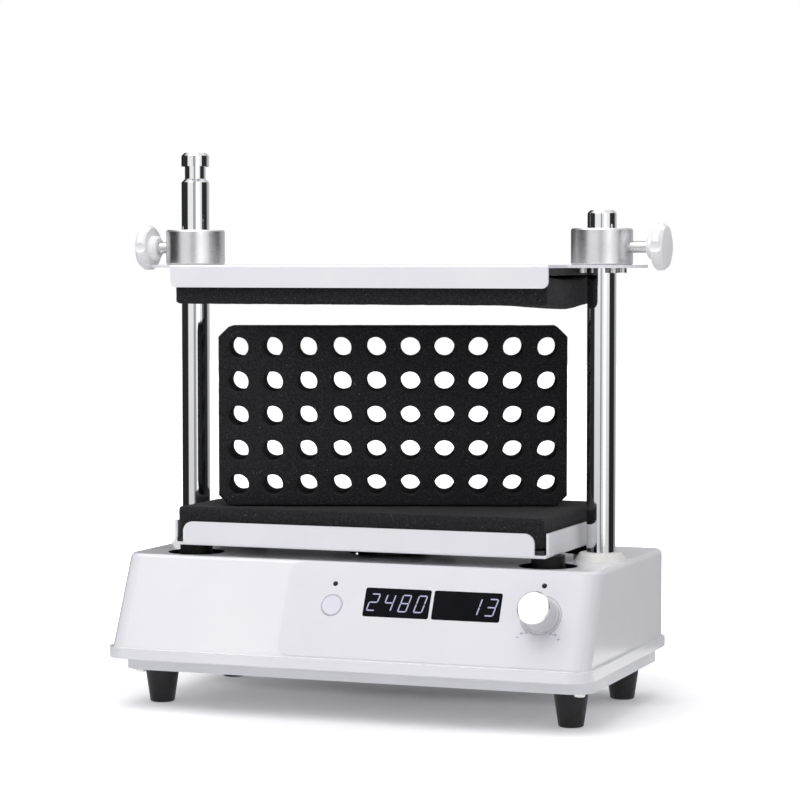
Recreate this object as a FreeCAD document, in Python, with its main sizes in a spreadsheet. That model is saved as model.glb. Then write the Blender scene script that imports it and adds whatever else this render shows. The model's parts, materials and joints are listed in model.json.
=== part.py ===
import FreeCAD, Part
import math
import os
import re
import Sketcher
from FreeCAD import Vector

os.makedirs("parts", exist_ok=True)
doc = FreeCAD.newDocument("tube_mixer")

# All lengths are in millimetres and all angles in degrees. Heights are above the bench.
# Places across and along are from the middle of the line between the two columns.
dimensions = {
    # Place of the columns' plane behind the middle of the footprint
    "columns_back": 9.0,
    # Clearances
    "close_gap": 0.05,
    "loose_gap": 0.3,
    "soft_gap": 0.3,
    # Rubber feet
    "foot_height": 25.5,
    "foot_across": 302.0,
    "foot_along": 125.0,
    "foot_top_width": 24.5,
    "foot_bottom_width": 17.0,
    "foot_edge": 1.5,
    "foot_recess_width": 9.0,
    "foot_recess_depth": 14.0,
    "foot_screw_width": 5.0,
    "foot_screw_head": 8.4,
    "foot_screw_reach": 19.0,
    # Base pan
    "pan_width": 342.0,
    "pan_front": 88.0,
    "pan_back": 90.0,
    "pan_sheet": 2.0,
    "pan_height": 14.5,
    "pan_corner": 14.0,
    "pan_slot_length": 44.0,
    "pan_slot_width": 4.0,
    "pan_slot_pitch": 10.0,
    # Screws that hold the pan to the cover
    "base_screw_across": 322.0,
    "base_screw_along": 153.0,
    "base_screw_width": 3.2,
    "base_screw_head": 7.6,
    "base_screw_head_height": 3.0,
    "base_screw_reach": 14.0,
    "base_boss_width": 10.0,
    "base_boss_height": 34.0,
    "base_rib_height": 16.0,
    # Housing cover
    "cover_wall": 3.0,
    "deck_height": 105.6,
    "deck_width": 347.0,
    "deck_front": 75.2,
    "deck_back": 92.0,
    "face_corner": 13.0,
    "back_corner": 8.0,
    "deck_edge": 3.5,
    "face_lean": 25.4,
    "lip_top": 43.0,
    "lip_bottom": 35.7,
    "lip_width": 352.0,
    "lip_front": 108.5,
    "lip_back": 94.0,
    "lip_corner": 17.0,
    "lip_back_corner": 10.0,
    "lip_step": 0.8,
    "lip_wall": 2.8,
    # Openings in the deck
    "hub_opening": 64.0,
    "post_opening": 40.0,
    "column_opening": 21.0,
    # Cooling slots in the back of the cover
    "vent_length": 30.0,
    "vent_width": 3.0,
    "vent_pitch": 8.0,
    "vent_height": 82.0,
    "vent_count": 14,
    # Control panel film, across from the middle and down from the top edge of the face
    "film_thick": 0.4,
    "film_left": 45.6,
    "film_right": 162.0,
    "film_top": 1.0,
    "film_bottom": 64.0,
    "film_corner": 9.0,
    # Control parts on the face
    "button_across": -11.0,
    "button_down": 31.2,
    "button_width": 15.0,
    "button_proud": 0.9,
    "button_travel": 0.5,
    "button_flange": 17.4,
    "speed_light_across": -10.8,
    "speed_light_down": 15.8,
    "time_light_across": 137.7,
    "time_light_down": 10.9,
    "light_width": 3.5,
    "light_proud": 0.6,
    "speed_window_left": 12.2,
    "speed_window_right": 59.5,
    "time_window_left": 61.6,
    "time_window_right": 109.8,
    "window_top": 17.5,
    "window_bottom": 38.1,
    "knob_across": 138.0,
    "knob_down": 32.0,
    "knob_width": 23.5,
    "knob_skirt_width": 25.6,
    "knob_height": 19.0,
    "knob_lift": 2.6,
    "knob_press": 0.6,
    "knob_wall": 1.6,
    "encoder_width": 13.0,
    "bushing_width": 7.0,
    "bushing_reach": 6.5,
    "encoder_nut_width": 10.0,
    "encoder_nut_thick": 2.0,
    "dial_shaft_width": 6.0,
    "plunger_width": 4.0,
    # Control board behind the face
    "board_depth": 12.0,
    "board_thick": 1.6,
    "board_left": 34.0,
    "board_right": 151.0,
    "board_top": 6.0,
    "board_bottom": 50.0,
    "board_boss_width": 6.0,
    "board_screw_width": 2.5,
    "board_screw_head": 5.0,
    # Chassis
    "chassis_height": 60.0,
    "chassis_sheet": 4.0,
    "chassis_width": 334.0,
    "chassis_depth": 132.0,
    "chassis_corner": 6.0,
    "pillar_width": 14.0,
    "pillar_spigot": 8.0,
    "pillar_across": 200.0,
    "pillar_along": 112.0,
    "chassis_screw_width": 5.0,
    "chassis_screw_head": 9.0,
    "chassis_screw_head_height": 3.0,
    # Motor and the eccentric drive
    "orbit_radius": 1.8,
    "motor_width": 76.0,
    "motor_length": 30.0,
    "motor_spigot": 22.0,
    "motor_spigot_height": 2.0,
    "motor_edge": 3.0,
    "motor_shaft_width": 10.0,
    "motor_screw_circle": 56.0,
    "motor_screw_width": 4.0,
    "motor_screw_head": 7.6,
    "motor_screw_head_height": 2.6,
    "coupling_width": 24.0,
    "coupling_bottom": 66.4,
    "coupling_height": 15.6,
    "pin_width": 15.0,
    "pin_reach": 21.0,
    "weight_radius": 38.0,
    "weight_bottom": 70.0,
    "weight_thick": 10.0,
    "weight_setback": 3.0,
    # Tray hub and its bearing
    "bearing_width": 35.0,
    "bearing_thick": 11.0,
    "hub_width": 50.0,
    "hub_length": 22.0,
    "hub_flange_width": 90.0,
    "hub_flange_thick": 3.2,
    "hub_roof": 5.0,
    "hub_lead": 2.5,
    "hub_screw_circle": 72.0,
    "hub_screw_width": 4.0,
    "hub_screw_head": 7.0,
    "flat_head_height": 2.2,
    # Tray
    "tray_height": 113.0,
    "tray_sheet": 2.0,
    "tray_width": 275.0,
    "tray_depth": 150.0,
    "tray_rim": 16.5,
    "tray_long_rim": 257.4,
    "tray_short_rim": 139.0,
    "tray_rim_corner": 7.0,
    # Rubber posts
    "post_width": 23.0,
    "post_across": 260.8,
    "post_along": 98.0,
    "post_edge": 1.0,
    # Lower pad
    "lower_pad_width": 269.0,
    "lower_pad_depth": 144.0,
    "lower_board_thick": 3.0,
    "lower_foam_thick": 21.7,
    "pad_edge": 2.0,
    # Tube rack
    "rack_length": 244.0,
    "rack_thick": 56.0,
    "rack_height": 125.4,
    "rack_corner": 8.0,
    "rack_turn": 19.7,
    "rack_left": -106.2,
    "rack_front": -64.6,
    "tube_hole_width": 14.3,
    "tube_pitch": 24.0,
    "tubes_along": 10,
    "tubes_up": 5,
    # Columns
    "column_width": 20.0,
    "column_spacing": 306.0,
    "left_column_top": 389.1,
    "right_column_top": 345.9,
    "column_chamfer": 2.0,
    "neck_width": 15.0,
    "neck_low": 370.5,
    "neck_high": 379.5,
    "stud_width": 12.0,
    "stud_reach": 12.0,
    "nut_across": 18.0,
    "nut_thick": 10.0,
    "trim_ring_width": 36.0,
    "trim_ring_top_width": 29.0,
    "trim_ring_height": 5.4,
    # Top plate
    "plate_height": 306.5,
    "plate_sheet": 2.0,
    "plate_width": 275.6,
    "plate_depth": 150.0,
    "plate_rim": 13.6,
    "plate_rim_corner": 4.5,
    "ear_span": 366.0,
    "ear_width": 60.0,
    "ear_corner": 24.0,
    # Upper pad
    "upper_pad_width": 272.0,
    "upper_pad_depth": 144.0,
    "upper_board_thick": 5.0,
    "upper_foam_thick": 20.2,
    # Clamp collars
    "collar_width": 42.5,
    "collar_height": 25.0,
    "collar_edge": 1.0,
    "clamp_height": 12.3,
    "collar_screw_spacing": 22.0,
    "collar_screw_width": 4.0,
    "collar_screw_head": 7.0,
    "collar_screw_head_height": 3.4,
    "collar_screw_reach": 12.0,
    # Star knobs and clamp screws
    "star_width": 32.0,
    "star_thick": 8.0,
    "star_dome": 2.4,
    "star_boss_width": 17.4,
    "star_boss_length": 5.0,
    "star_notch_radius": 4.6,
    "star_notch_circle": 37.6,
    "left_knob_reach": 28.8,
    "right_knob_reach": 33.1,
    "clamp_screw_width": 8.0,
    "clamp_screw_depth": 9.0,
    "tip_width": 7.0,
    "tip_length": 3.0,
    # Power entry in the back of the cover
    "inlet_across": 120.0,
    "inlet_up": 72.0,
    "inlet_width": 30.0,
    "inlet_height": 38.0,
    "inlet_flange": 2.0,
    "inlet_depth": 24.0,
    "socket_width": 24.2,
    "socket_height": 16.2,
    "socket_depth": 16.0,
    "socket_up": 6.5,
    "pin_blade_width": 2.0,
    "pin_blade_height": 4.0,
    "pin_blade_length": 10.0,
    "pin_spread": 14.0,
    "drawer_width": 21.6,
    "drawer_height": 6.0,
    "drawer_depth": 18.0,
    "drawer_down": 10.8,
    "switch_across": 82.0,
    "switch_width": 15.0,
    "switch_height": 21.0,
    "switch_depth": 16.0,
    "rocker_width": 9.0,
    "rocker_height": 15.0,
    "rocker_tilt": 8.0,
    "rocker_inset": 2.0,
    "rocker_pivot": 2.0,
    "rocker_stud": 1.2,
    # Power supply and motor driver
    "supply_across": -92.0,
    "supply_length": 76.0,
    "supply_width": 50.0,
    "supply_height": 26.0,
    "driver_across": 90.0,
    "driver_length": 70.0,
    "driver_width": 54.0,
    "driver_lift": 5.0,
    "sink_height": 18.0,
    "touch_gap": 0.1,
    "lamp_flange": 0.6,
    "flange_low": 1.6,
    "flange_thick": 1.4,
    "key_stem_width": 4.0,
    "tact_width": 6.0,
    "tact_height": 3.4,
    "tact_plunger_width": 3.5,
    "tact_plunger": 0.6,
    "encoder_floor": 1.0,
    "plunger_thick": 1.0,
    "knob_roof": 3.5,
    "knob_cup_roof": 5.0,
    "shaft_short": 4.0,
    "knob_hub_wall": 2.4,
    "knob_hub_clear": 1.5,
    "skirt_drop": 1.4,
    "skirt_rise": 0.6,
    "skirt_slope": 1.2,
    "knob_draft": 0.4,
    "knob_edge": 1.0,
    "board_thread": 6.0,
    "board_screw_cap": 1.6,
    "board_screw_bite": 5.0,
    "star_boss_edge": 1.7,
    "star_edge": 1.5,
    "star_face_edge": 2.5,
    "star_face_round": 2.0,
    "star_dome_share": 0.75,
    "notch_over": 1.0,
    "rod_edge": 1.0,
    "inlet_corner": 2.0,
    "inlet_shoulder": 1.7,
    "socket_bevel": 5.0,
    "drawer_end_gap": 2.0,
    "drawer_gap": 0.2,
    "pin_offset": 2.0,
    "drawer_lip": 0.5,
    "trough_width": 6.0,
    "trough_back": 2.0,
    "trough_front": 3.0,
    "trough_reach": 1.3,
    "switch_corner": 1.5,
    "switch_lower": 0.5,
    "switch_shoulder": 1.4,
    "well_depth": 9.0,
    "well_cut": 12.0,
    "well_gap": 1.2,
    "rocker_rise": 2.6,
    "rocker_skirt": 1.0,
    "rocker_keel": 5.0,
    "supply_step": 12.0,
    "supply_step_inset": 3.0,
    "driver_foot_inset": 4.0,
    "driver_foot_width": 6.0,
    "sink_start": 6.0,
    "sink_end": 30.0,
    "sink_inset": 8.0,
    "sink_base": 3.0,
    "groove_start": 9.0,
    "groove_width": 3.0,
    "groove_pitch": 6.0,
}

sheet = doc.addObject("Spreadsheet::Sheet", "sizes")
for row, (alias, value) in enumerate(dimensions.items(), start=1):
    sheet.set("A%d" % row, alias)
    sheet.set("B%d" % row, str(value))
    sheet.setAlias("B%d" % row, alias)
doc.recompute()


def cells(text):
    """The expression with each size's name pointing at its cell."""
    return re.sub(r"[a-z_]+", lambda word: "sizes." + word[0] if word[0] in dimensions else word[0], text)


def number(text):
    """What an expression comes to, as a plain number."""
    result = sheet.evalExpression(cells(text))
    return float(getattr(result, "Value", result))


def bind(item, name, text):
    """Tie a property to the sheet."""
    item.setExpression(name, cells(text))


def add_body(label, base=("0", "0", "0"), turn=None):
    """A new sub-part, placed from the middle between the columns."""
    body = doc.addObject("PartDesign::Body", label)
    body.Label = label
    body.AllowCompound = True
    if turn:
        axis, angle = turn
        body.Placement = FreeCAD.Placement(Vector(), FreeCAD.Rotation(axis, 1))
        bind(body, "Placement.Rotation.Angle", angle)
    bind(body, "Placement.Base.x", base[0])
    bind(body, "Placement.Base.y", "columns_back + " + base[1])
    bind(body, "Placement.Base.z", base[2])
    return body


def add_sketch(body, role, offset="0"):
    """A sketch on one of the body's own planes, or parallel to it."""
    sketch = body.newObject("Sketcher::SketchObject", body.Label + "_sketch")
    plane = [item for item in body.Origin.OriginFeatures if item.Role == role][0]
    sketch.AttachmentSupport = [(plane, "")]
    sketch.MapMode = "FlatFace"
    bind(sketch, "AttachmentOffset.Base.z", offset)
    return sketch


def hold(sketch, shape, point, x, y):
    """Fix a point of the sketch by two bound distances from the origin."""
    for kind, text in (("DistanceX", x), ("DistanceY", y)):
        index = sketch.addConstraint(Sketcher.Constraint(kind, -1, 1, shape, point, number(text)))
        bind(sketch, "Constraints[%d]" % index, text)


def draw_circle(sketch, x, y, radius):
    """A circle with its centre and radius bound."""
    centre = Vector(number(x), number(y), 0)
    circle = sketch.addGeometry(Part.Circle(centre, Vector(0, 0, 1), number(radius)), False)
    hold(sketch, circle, 3, x, y)
    index = sketch.addConstraint(Sketcher.Constraint("Radius", circle, number(radius)))
    bind(sketch, "Constraints[%d]" % index, radius)
    return circle


def draw_polygon(sketch, corners):
    """A closed outline of straight lines with each corner bound."""
    places = [Vector(number(x), number(y), 0) for x, y in corners]
    lines = []
    for start, end in zip(places, places[1:] + places[:1]):
        lines.append(sketch.addGeometry(Part.LineSegment(start, end), False))
    for line, after in zip(lines, lines[1:] + lines[:1]):
        sketch.addConstraint(Sketcher.Constraint("Coincident", line, 2, after, 1))
    for line, (x, y) in zip(lines, corners):
        hold(sketch, line, 1, x, y)


def draw_box(sketch, left, right, low, high):
    """A rectangle from its four sides."""
    draw_polygon(sketch, [(left, low), (right, low), (right, high), (left, high)])


def draw_rounded_box(sketch, left, right, low, high, low_radius, high_radius):
    """A rectangle whose low and high corners are rounded by tangent arcs."""
    spots = [
        (right, low, low_radius, -1, 1, 270),
        (right, high, high_radius, -1, -1, 0),
        (left, high, high_radius, 1, -1, 90),
        (left, low, low_radius, 1, 1, 180),
    ]
    arcs = []
    for x, y, radius, inward_x, inward_y, start in spots:
        centre_x = "(%s) + %d * (%s)" % (x, inward_x, radius)
        centre_y = "(%s) + %d * (%s)" % (y, inward_y, radius)
        circle = Part.Circle(Vector(number(centre_x), number(centre_y), 0), Vector(0, 0, 1), number(radius))
        sweep = (math.radians(start), math.radians(start + 90))
        arc = sketch.addGeometry(Part.ArcOfCircle(circle, *sweep), False)
        hold(sketch, arc, 3, centre_x, centre_y)
        index = sketch.addConstraint(Sketcher.Constraint("Radius", arc, number(radius)))
        bind(sketch, "Constraints[%d]" % index, radius)
        arcs.append(arc)
    for arc, after in zip(arcs, arcs[1:] + arcs[:1]):
        start = sketch.getPoint(arc, 2)
        end = sketch.getPoint(after, 1)
        line = sketch.addGeometry(Part.LineSegment(start, end), False)
        sketch.addConstraint(Sketcher.Constraint("Tangent", arc, 2, line, 1))
        sketch.addConstraint(Sketcher.Constraint("Tangent", line, 2, after, 1))


def add_pad(sketch, length, taper=None):
    """Material along the sketch's normal."""
    pad = sketch.getParent().newObject("PartDesign::Pad", sketch.Name + "_pad")
    pad.Profile = sketch
    bind(pad, "Length", length)
    if taper:
        bind(pad, "TaperAngle", taper)
    return pad


def add_pocket(sketch, length, forward=True):
    """A cut along the sketch's normal, or against it."""
    pocket = sketch.getParent().newObject("PartDesign::Pocket", sketch.Name + "_pocket")
    pocket.Profile = sketch
    pocket.Reversed = forward
    bind(pocket, "Length", length)
    return pocket


def add_discs(body, centres, radius, low, length, taper=None):
    """One upright disc of material at each centre."""
    sketch = add_sketch(body, "XY_Plane", low)
    for x, y in centres:
        draw_circle(sketch, x, y, radius)
    return add_pad(sketch, length, taper)


def cut_discs(body, centres, radius, low, length):
    """One upright round hole at each centre."""
    sketch = add_sketch(body, "XY_Plane", low)
    for x, y in centres:
        draw_circle(sketch, x, y, radius)
    return add_pocket(sketch, length)


def add_turned(body, profile, axis="V_Axis", cut=False):
    """A ring or rod turned about one of the sketch's own axes."""
    sketch = add_sketch(body, "XZ_Plane")
    draw_polygon(sketch, profile)
    kind = "PartDesign::Groove" if cut else "PartDesign::Revolution"
    turned = body.newObject(kind, body.Label + "_turned")
    turned.Profile = sketch
    turned.ReferenceAxis = (sketch, [axis])
    turned.Angle = 360
    return turned


def find_edges(feature, x=None, y=None, z=None, straight=None):
    """Names of the feature's edges that lie inside the given spans."""
    doc.recompute()
    near = 0.02
    names = []
    for index, edge in enumerate(feature.Shape.Edges, start=1):
        box = edge.BoundBox
        spans = ((x, box.XMin, box.XMax), (y, box.YMin, box.YMax), (z, box.ZMin, box.ZMax))
        inside = True
        for limits, low, high in spans:
            if limits and (low < number(limits[0]) - near or high > number(limits[1]) + near):
                inside = False
        if straight is not None and straight != isinstance(edge.Curve, Part.Line):
            inside = False
        if inside:
            names.append("Edge%d" % index)
    return names


def round_edges(body, edges, radius):
    """A fillet on edges of the body's last feature."""
    fillet = body.newObject("PartDesign::Fillet", body.Label + "_rounding")
    fillet.Base = (body.Group[-2], edges)
    bind(fillet, "Radius", radius)
    return fillet


def bevel_edges(body, edges, size):
    """A chamfer on edges of the body's last feature."""
    chamfer = body.newObject("PartDesign::Chamfer", body.Label + "_chamfer")
    chamfer.Base = (body.Group[-2], edges)
    bind(chamfer, "Size", size)
    return chamfer


def four_corners(across, along):
    """Centres at the corners of a rectangle about the middle."""
    places = []
    for x_side in ("", "-"):
        for y_side in ("", "-"):
            places.append(("%s%s / 2" % (x_side, across), "%s%s / 2" % (y_side, along)))
    return places


def around(circle, count, x="0", start=0):
    """Centres evenly spaced on a pitch circle."""
    places = []
    for step in range(count):
        angle = start + step * 360 / count
        places.append(("%s + %s / 2 * cos(%g)" % (x, circle, angle), "%s / 2 * sin(%g)" % (circle, angle)))
    return places


middle = [("0", "0")]
motor_axis = "-orbit_radius"
motor_middle = [(motor_axis, "0")]
feet = four_corners("foot_across", "foot_along")
base_screws = four_corners("base_screw_across", "base_screw_along")
pillars = four_corners("pillar_across", "pillar_along")
posts = four_corners("post_across", "post_along")
column_places = [("column_spacing / 2", "0"), ("-column_spacing / 2", "0")]
collar_screw_places = []
for collar_x, collar_y in column_places:
    for screw_x, screw_y in four_corners("collar_screw_spacing", "collar_screw_spacing"):
        collar_screw_places.append((collar_x + " + " + screw_x, screw_y))

pan_floor_top = "foot_height + pan_sheet"
pan_top = "foot_height + pan_height"
deck_inside = "deck_height - cover_wall"
chassis_top = "chassis_height + chassis_sheet"
tray_top = "tray_height + tray_sheet"
hub_flange_low = "tray_height - hub_flange_thick"
hub_low = "tray_height - hub_flange_thick - hub_length"
lower_foam_low = "tray_height + tray_sheet + lower_board_thick + soft_gap"
rack_bottom = "tray_height + tray_sheet + lower_board_thick + lower_foam_thick + 2 * soft_gap"
plate_top = "plate_height + plate_sheet"
face_at_lip = "deck_front + (deck_height - lip_top) * tan(face_lean)"
face_frame = ("0", "-deck_front", "deck_height")
face_turn = (Vector(1, 0, 0), "90 - face_lean")


def housing_cover():
    """Moulded shell: deck, sloping control face, lip and back, open underneath."""
    body = add_body("housing_cover")

    # Outer form from its side view, with rounded upright corners, hollowed to one wall
    side_view = add_sketch(body, "YZ_Plane")
    draw_polygon(side_view, [
        ("-deck_front", "deck_height"),
        ("-(%s)" % face_at_lip, "lip_top"),
        ("deck_back", "lip_top"),
        ("deck_back", "deck_height"),
    ])
    form = add_pad(side_view, "deck_width")
    form.Midplane = True
    sides = ("-deck_width / 2", "deck_width / 2")
    upright = []
    for side in sides:
        upright += find_edges(form, x=(side, side), y=("-(%s)" % face_at_lip, "-deck_front"))
    rounded = round_edges(body, upright, "face_corner")
    upright = []
    for side in sides:
        upright += find_edges(rounded, x=(side, side), y=("deck_back", "deck_back"))
    rounded = round_edges(body, upright, "back_corner")
    doc.recompute()
    open_side = ["Face%d" % index for index, side in enumerate(rounded.Shape.Faces, start=1)
                 if side.BoundBox.ZMax < number("lip_top") + 0.1]
    shell = body.newObject("PartDesign::Thickness", "cover_shell")
    shell.Base = (rounded, open_side)
    bind(shell, "Value", "cover_wall")
    shell.Reversed = True
    shell.Join = "Intersection"

    # Bosses for the base screws, each with a rib to the side wall
    add_discs(body, base_screws, "base_boss_width / 2", pan_floor_top, "base_boss_height")
    ribs = add_sketch(body, "XY_Plane", "lip_top")
    for x_side in ("", "-"):
        for y_side in ("", "-"):
            draw_box(ribs, x_side + "base_screw_across / 2", x_side + "(deck_width / 2 - cover_wall / 2)",
                     y_side + "(base_screw_along / 2 + cover_wall / 2)",
                     y_side + "(base_screw_along / 2 - cover_wall / 2)")
    add_pad(ribs, "base_rib_height")

    # Lip: an upper band that meets the wall and a lower one that takes the pan's rim
    for low, high, side, front, back, corner in (
        (pan_top, "lip_top", "deck_width / 2 - cover_wall - lip_step",
         "-(%s) + cover_wall + 2 * lip_step" % face_at_lip,
         "deck_back - cover_wall - lip_step", "face_corner - cover_wall"),
        ("lip_bottom", pan_top, "lip_width / 2 - lip_wall", "-lip_front + lip_wall",
         "lip_back - lip_wall", "lip_corner - lip_wall"),
    ):
        band = add_sketch(body, "XY_Plane", low)
        draw_rounded_box(band, "-lip_width / 2", "lip_width / 2", "-lip_front", "lip_back",
                         "lip_corner", "lip_back_corner")
        draw_rounded_box(band, "-(%s)" % side, side, front, back, corner, "lip_back_corner - lip_wall")
        add_pad(band, "%s - (%s)" % (high, low))

    # Openings in the deck for the hub, the posts and the columns
    for places, radius in (
        (middle, "hub_opening / 2"),
        (posts, "post_opening / 2"),
        (column_places, "column_opening / 2"),
    ):
        cut_discs(body, places, radius, "%s - cover_wall" % deck_inside, "3 * cover_wall")
    cut_discs(body, base_screws, "base_screw_width / 2 + close_gap", pan_floor_top, "base_screw_reach")

    # Control face: windows and holes, seen square on
    face = add_sketch(body, "XY_Plane")
    face.AttachmentOffset = FreeCAD.Placement(Vector(), FreeCAD.Rotation(Vector(1, 0, 0), 1))
    bind(face, "AttachmentOffset.Base.y", "-deck_front")
    bind(face, "AttachmentOffset.Base.z", "deck_height")
    bind(face, "AttachmentOffset.Rotation.Angle", "90 - face_lean")
    draw_circle(face, "button_across", "-button_down", "button_width / 2 + loose_gap")
    draw_circle(face, "speed_light_across", "-speed_light_down", "light_width / 2 + close_gap")
    draw_circle(face, "time_light_across", "-time_light_down", "light_width / 2 + close_gap")
    draw_circle(face, "knob_across", "-knob_down", "bushing_width / 2 + close_gap")
    draw_box(face, "speed_window_left", "speed_window_right", "-window_bottom", "-window_top")
    draw_box(face, "time_window_left", "time_window_right", "-window_bottom", "-window_top")
    add_pocket(face, "2 * cover_wall", forward=False)

    # Back wall: power inlet, power switch and cooling slots
    back = add_sketch(body, "XZ_Plane", "-(deck_back - 2 * cover_wall)")
    draw_box(back, "inlet_across - inlet_width / 2 + 1.5", "inlet_across + inlet_width / 2 - 1.5",
             "inlet_up - inlet_height / 2 + 1.5", "inlet_up + inlet_height / 2 - 1.5")
    draw_box(back, "switch_across - switch_width / 2 + 1.2", "switch_across + switch_width / 2 - 1.2",
             "inlet_up - switch_height / 2 + 1.2", "inlet_up + switch_height / 2 - 1.2")
    add_pocket(back, "3 * cover_wall", forward=False)
    vents = add_sketch(body, "XZ_Plane", "-(deck_back - 2 * cover_wall)")
    draw_box(vents, "-vent_count * vent_pitch", "-vent_count * vent_pitch + vent_width",
             "vent_height - vent_length / 2", "vent_height + vent_length / 2")
    slot = add_pocket(vents, "3 * cover_wall", forward=False)
    row = body.newObject("PartDesign::LinearPattern", "vent_row")
    row.Originals = [slot]
    row.Direction = (vents, ["H_Axis"])
    row.Mode = "Spacing"
    bind(row, "Offset", "vent_pitch")
    bind(row, "Occurrences", "vent_count")
    body.Tip = row

    # Soft outer edge of the deck
    rim = []
    for name in find_edges(row, z=("deck_height", "deck_height")):
        box = row.Shape.getElement(name).BoundBox
        reach = max(max(box.XMax, -box.XMin) - number("deck_width / 2"),
                    box.YMax - number("deck_back"), number("-deck_front") - box.YMin)
        if reach > -0.1:
            rim.append(name)
    round_edges(body, rim, "deck_edge")


def base_pan():
    """Folded steel pan whose rim lies inside the cover's lip."""
    body = add_body("base_pan")
    outline = add_sketch(body, "XY_Plane", "foot_height")
    draw_rounded_box(outline, "-pan_width / 2", "pan_width / 2", "-pan_front", "pan_back",
                     "pan_corner", "pan_corner")
    add_pad(outline, "pan_height")
    rim_gap = "lip_wall + loose_gap"
    rim = add_sketch(body, "XY_Plane", "%s - pan_sheet" % pan_top)
    draw_rounded_box(rim, "-lip_width / 2 + " + rim_gap, "lip_width / 2 - (%s)" % rim_gap,
                     "-lip_front + " + rim_gap, "lip_back - (%s)" % rim_gap,
                     "lip_corner - lip_wall", "lip_back_corner - lip_wall")
    add_pad(rim, "pan_sheet")
    inside = add_sketch(body, "XY_Plane", pan_floor_top)
    draw_rounded_box(inside, "-pan_width / 2 + pan_sheet", "pan_width / 2 - pan_sheet",
                     "-pan_front + pan_sheet", "pan_back - pan_sheet",
                     "pan_corner - pan_sheet", "pan_corner - pan_sheet")
    add_pocket(inside, "pan_height")
    for places, radius in (
        (base_screws, "base_screw_width / 2 + 2 * loose_gap"),
        (feet, "foot_screw_width / 2 + close_gap"),
        (pillars, "pillar_spigot / 2 + close_gap"),
    ):
        cut_discs(body, places, radius, "foot_height - pan_sheet", "3 * pan_sheet")
    slots = add_sketch(body, "XY_Plane", "foot_height - pan_sheet")
    draw_box(slots, "-3.5 * pan_slot_pitch - pan_slot_width / 2",
             "-3.5 * pan_slot_pitch + pan_slot_width / 2",
             "-pan_slot_length / 2", "pan_slot_length / 2")
    slot = add_pocket(slots, "3 * pan_sheet")
    row = body.newObject("PartDesign::LinearPattern", "pan_slot_row")
    row.Originals = [slot]
    row.Direction = (slots, ["H_Axis"])
    row.Mode = "Spacing"
    bind(row, "Offset", "pan_slot_pitch")
    row.Occurrences = 8
    body.Tip = row


def rubber_feet():
    """Four tapered feet, each with a recess for its screw."""
    body = add_body("rubber_feet")
    spread = "atan((foot_top_width - foot_bottom_width) / 2 / foot_height)"
    cones = add_discs(body, feet, "foot_bottom_width / 2", "0", "foot_height", taper=spread)
    round_edges(body, find_edges(cones, z=("0", "0")), "foot_edge")
    cut_discs(body, feet, "foot_recess_width / 2", "0", "foot_recess_depth")
    cut_discs(body, feet, "foot_screw_width / 2 + close_gap", "0", "foot_height")


def foot_screws():
    """Screws up through the feet into the pan."""
    body = add_body("foot_screws")
    head = "(foot_recess_depth / 4)"
    add_discs(body, feet, "foot_screw_head / 2", "foot_recess_depth - " + head, head)
    add_discs(body, feet, "foot_screw_width / 2", "foot_recess_depth", "foot_screw_reach")


def add_base_screws():
    """Screws up through the pan into the cover's bosses."""
    body = add_body("base_screws")
    heads = add_discs(body, base_screws, "base_screw_head / 2", "foot_height - base_screw_head_height",
                      "base_screw_head_height")
    low = "foot_height - base_screw_head_height"
    round_edges(body, find_edges(heads, z=(low, low)), "base_screw_head_height / 3")
    add_discs(body, base_screws, "base_screw_width / 2", "foot_height", "pan_sheet + base_screw_reach - 2")


def control_panel_film():
    """Printed film on the sloping face, with windows for what shows through it."""
    body = add_body("control_panel_film", face_frame, face_turn)
    sketch = add_sketch(body, "XY_Plane")
    draw_rounded_box(sketch, "-film_left", "film_right", "-film_bottom", "-film_top",
                     "film_corner", "film_corner / 4")
    draw_circle(sketch, "button_across", "-button_down", "button_width / 2 + loose_gap")
    draw_circle(sketch, "speed_light_across", "-speed_light_down", "light_width / 2 + close_gap")
    draw_circle(sketch, "time_light_across", "-time_light_down", "light_width / 2 + close_gap")
    draw_circle(sketch, "knob_across", "-knob_down", "encoder_nut_width / 2 + loose_gap")
    draw_box(sketch, "speed_window_left", "speed_window_right", "-window_bottom", "-window_top")
    draw_box(sketch, "time_window_left", "time_window_right", "-window_bottom", "-window_top")
    add_pad(sketch, "film_thick")


def number_display(label, left, right):
    """Display block that stands on the board and fills its window."""
    body = add_body(label, face_frame, face_turn)
    sketch = add_sketch(body, "XY_Plane", "-board_depth")
    draw_box(sketch, left + " + close_gap", right + " - close_gap",
             "-window_bottom + close_gap", "-window_top - close_gap")
    add_pad(sketch, "board_depth + film_thick")


def indicator_leds():
    """Two lamps with domed ends, on short spacers from the board."""
    body = add_body("indicator_leds", face_frame, face_turn)
    places = [("speed_light_across", "-speed_light_down"), ("time_light_across", "-time_light_down")]
    add_discs(body, places, "light_width / 2 + lamp_flange", "-board_depth",
              "board_depth - cover_wall - loose_gap")
    lamps = add_discs(body, places, "light_width / 2", "-cover_wall - loose_gap",
                      "cover_wall + loose_gap + film_thick + light_proud")
    tops = find_edges(lamps, z=("film_thick + light_proud", "film_thick + light_proud"))
    round_edges(body, tops, "light_width / 2 - lamp_flange")


def start_button():
    """Round key with a flange behind the wall and a stem towards its switch."""
    body = add_body("start_button", face_frame, face_turn)
    place = [("button_across", "-button_down")]
    low = "-cover_wall - flange_low"
    add_discs(body, place, "button_flange / 2", low, "flange_thick")
    cap = add_discs(body, place, "button_width / 2", low, "flange_low + cover_wall + button_proud")
    round_edges(body, find_edges(cap, z=("button_proud", "button_proud")), "button_proud / 2")
    stem_low = "-board_depth + tact_height + tact_plunger + button_travel + touch_gap"
    add_discs(body, place, "key_stem_width / 2", stem_low, "(%s) - (%s)" % (low, stem_low))


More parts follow.
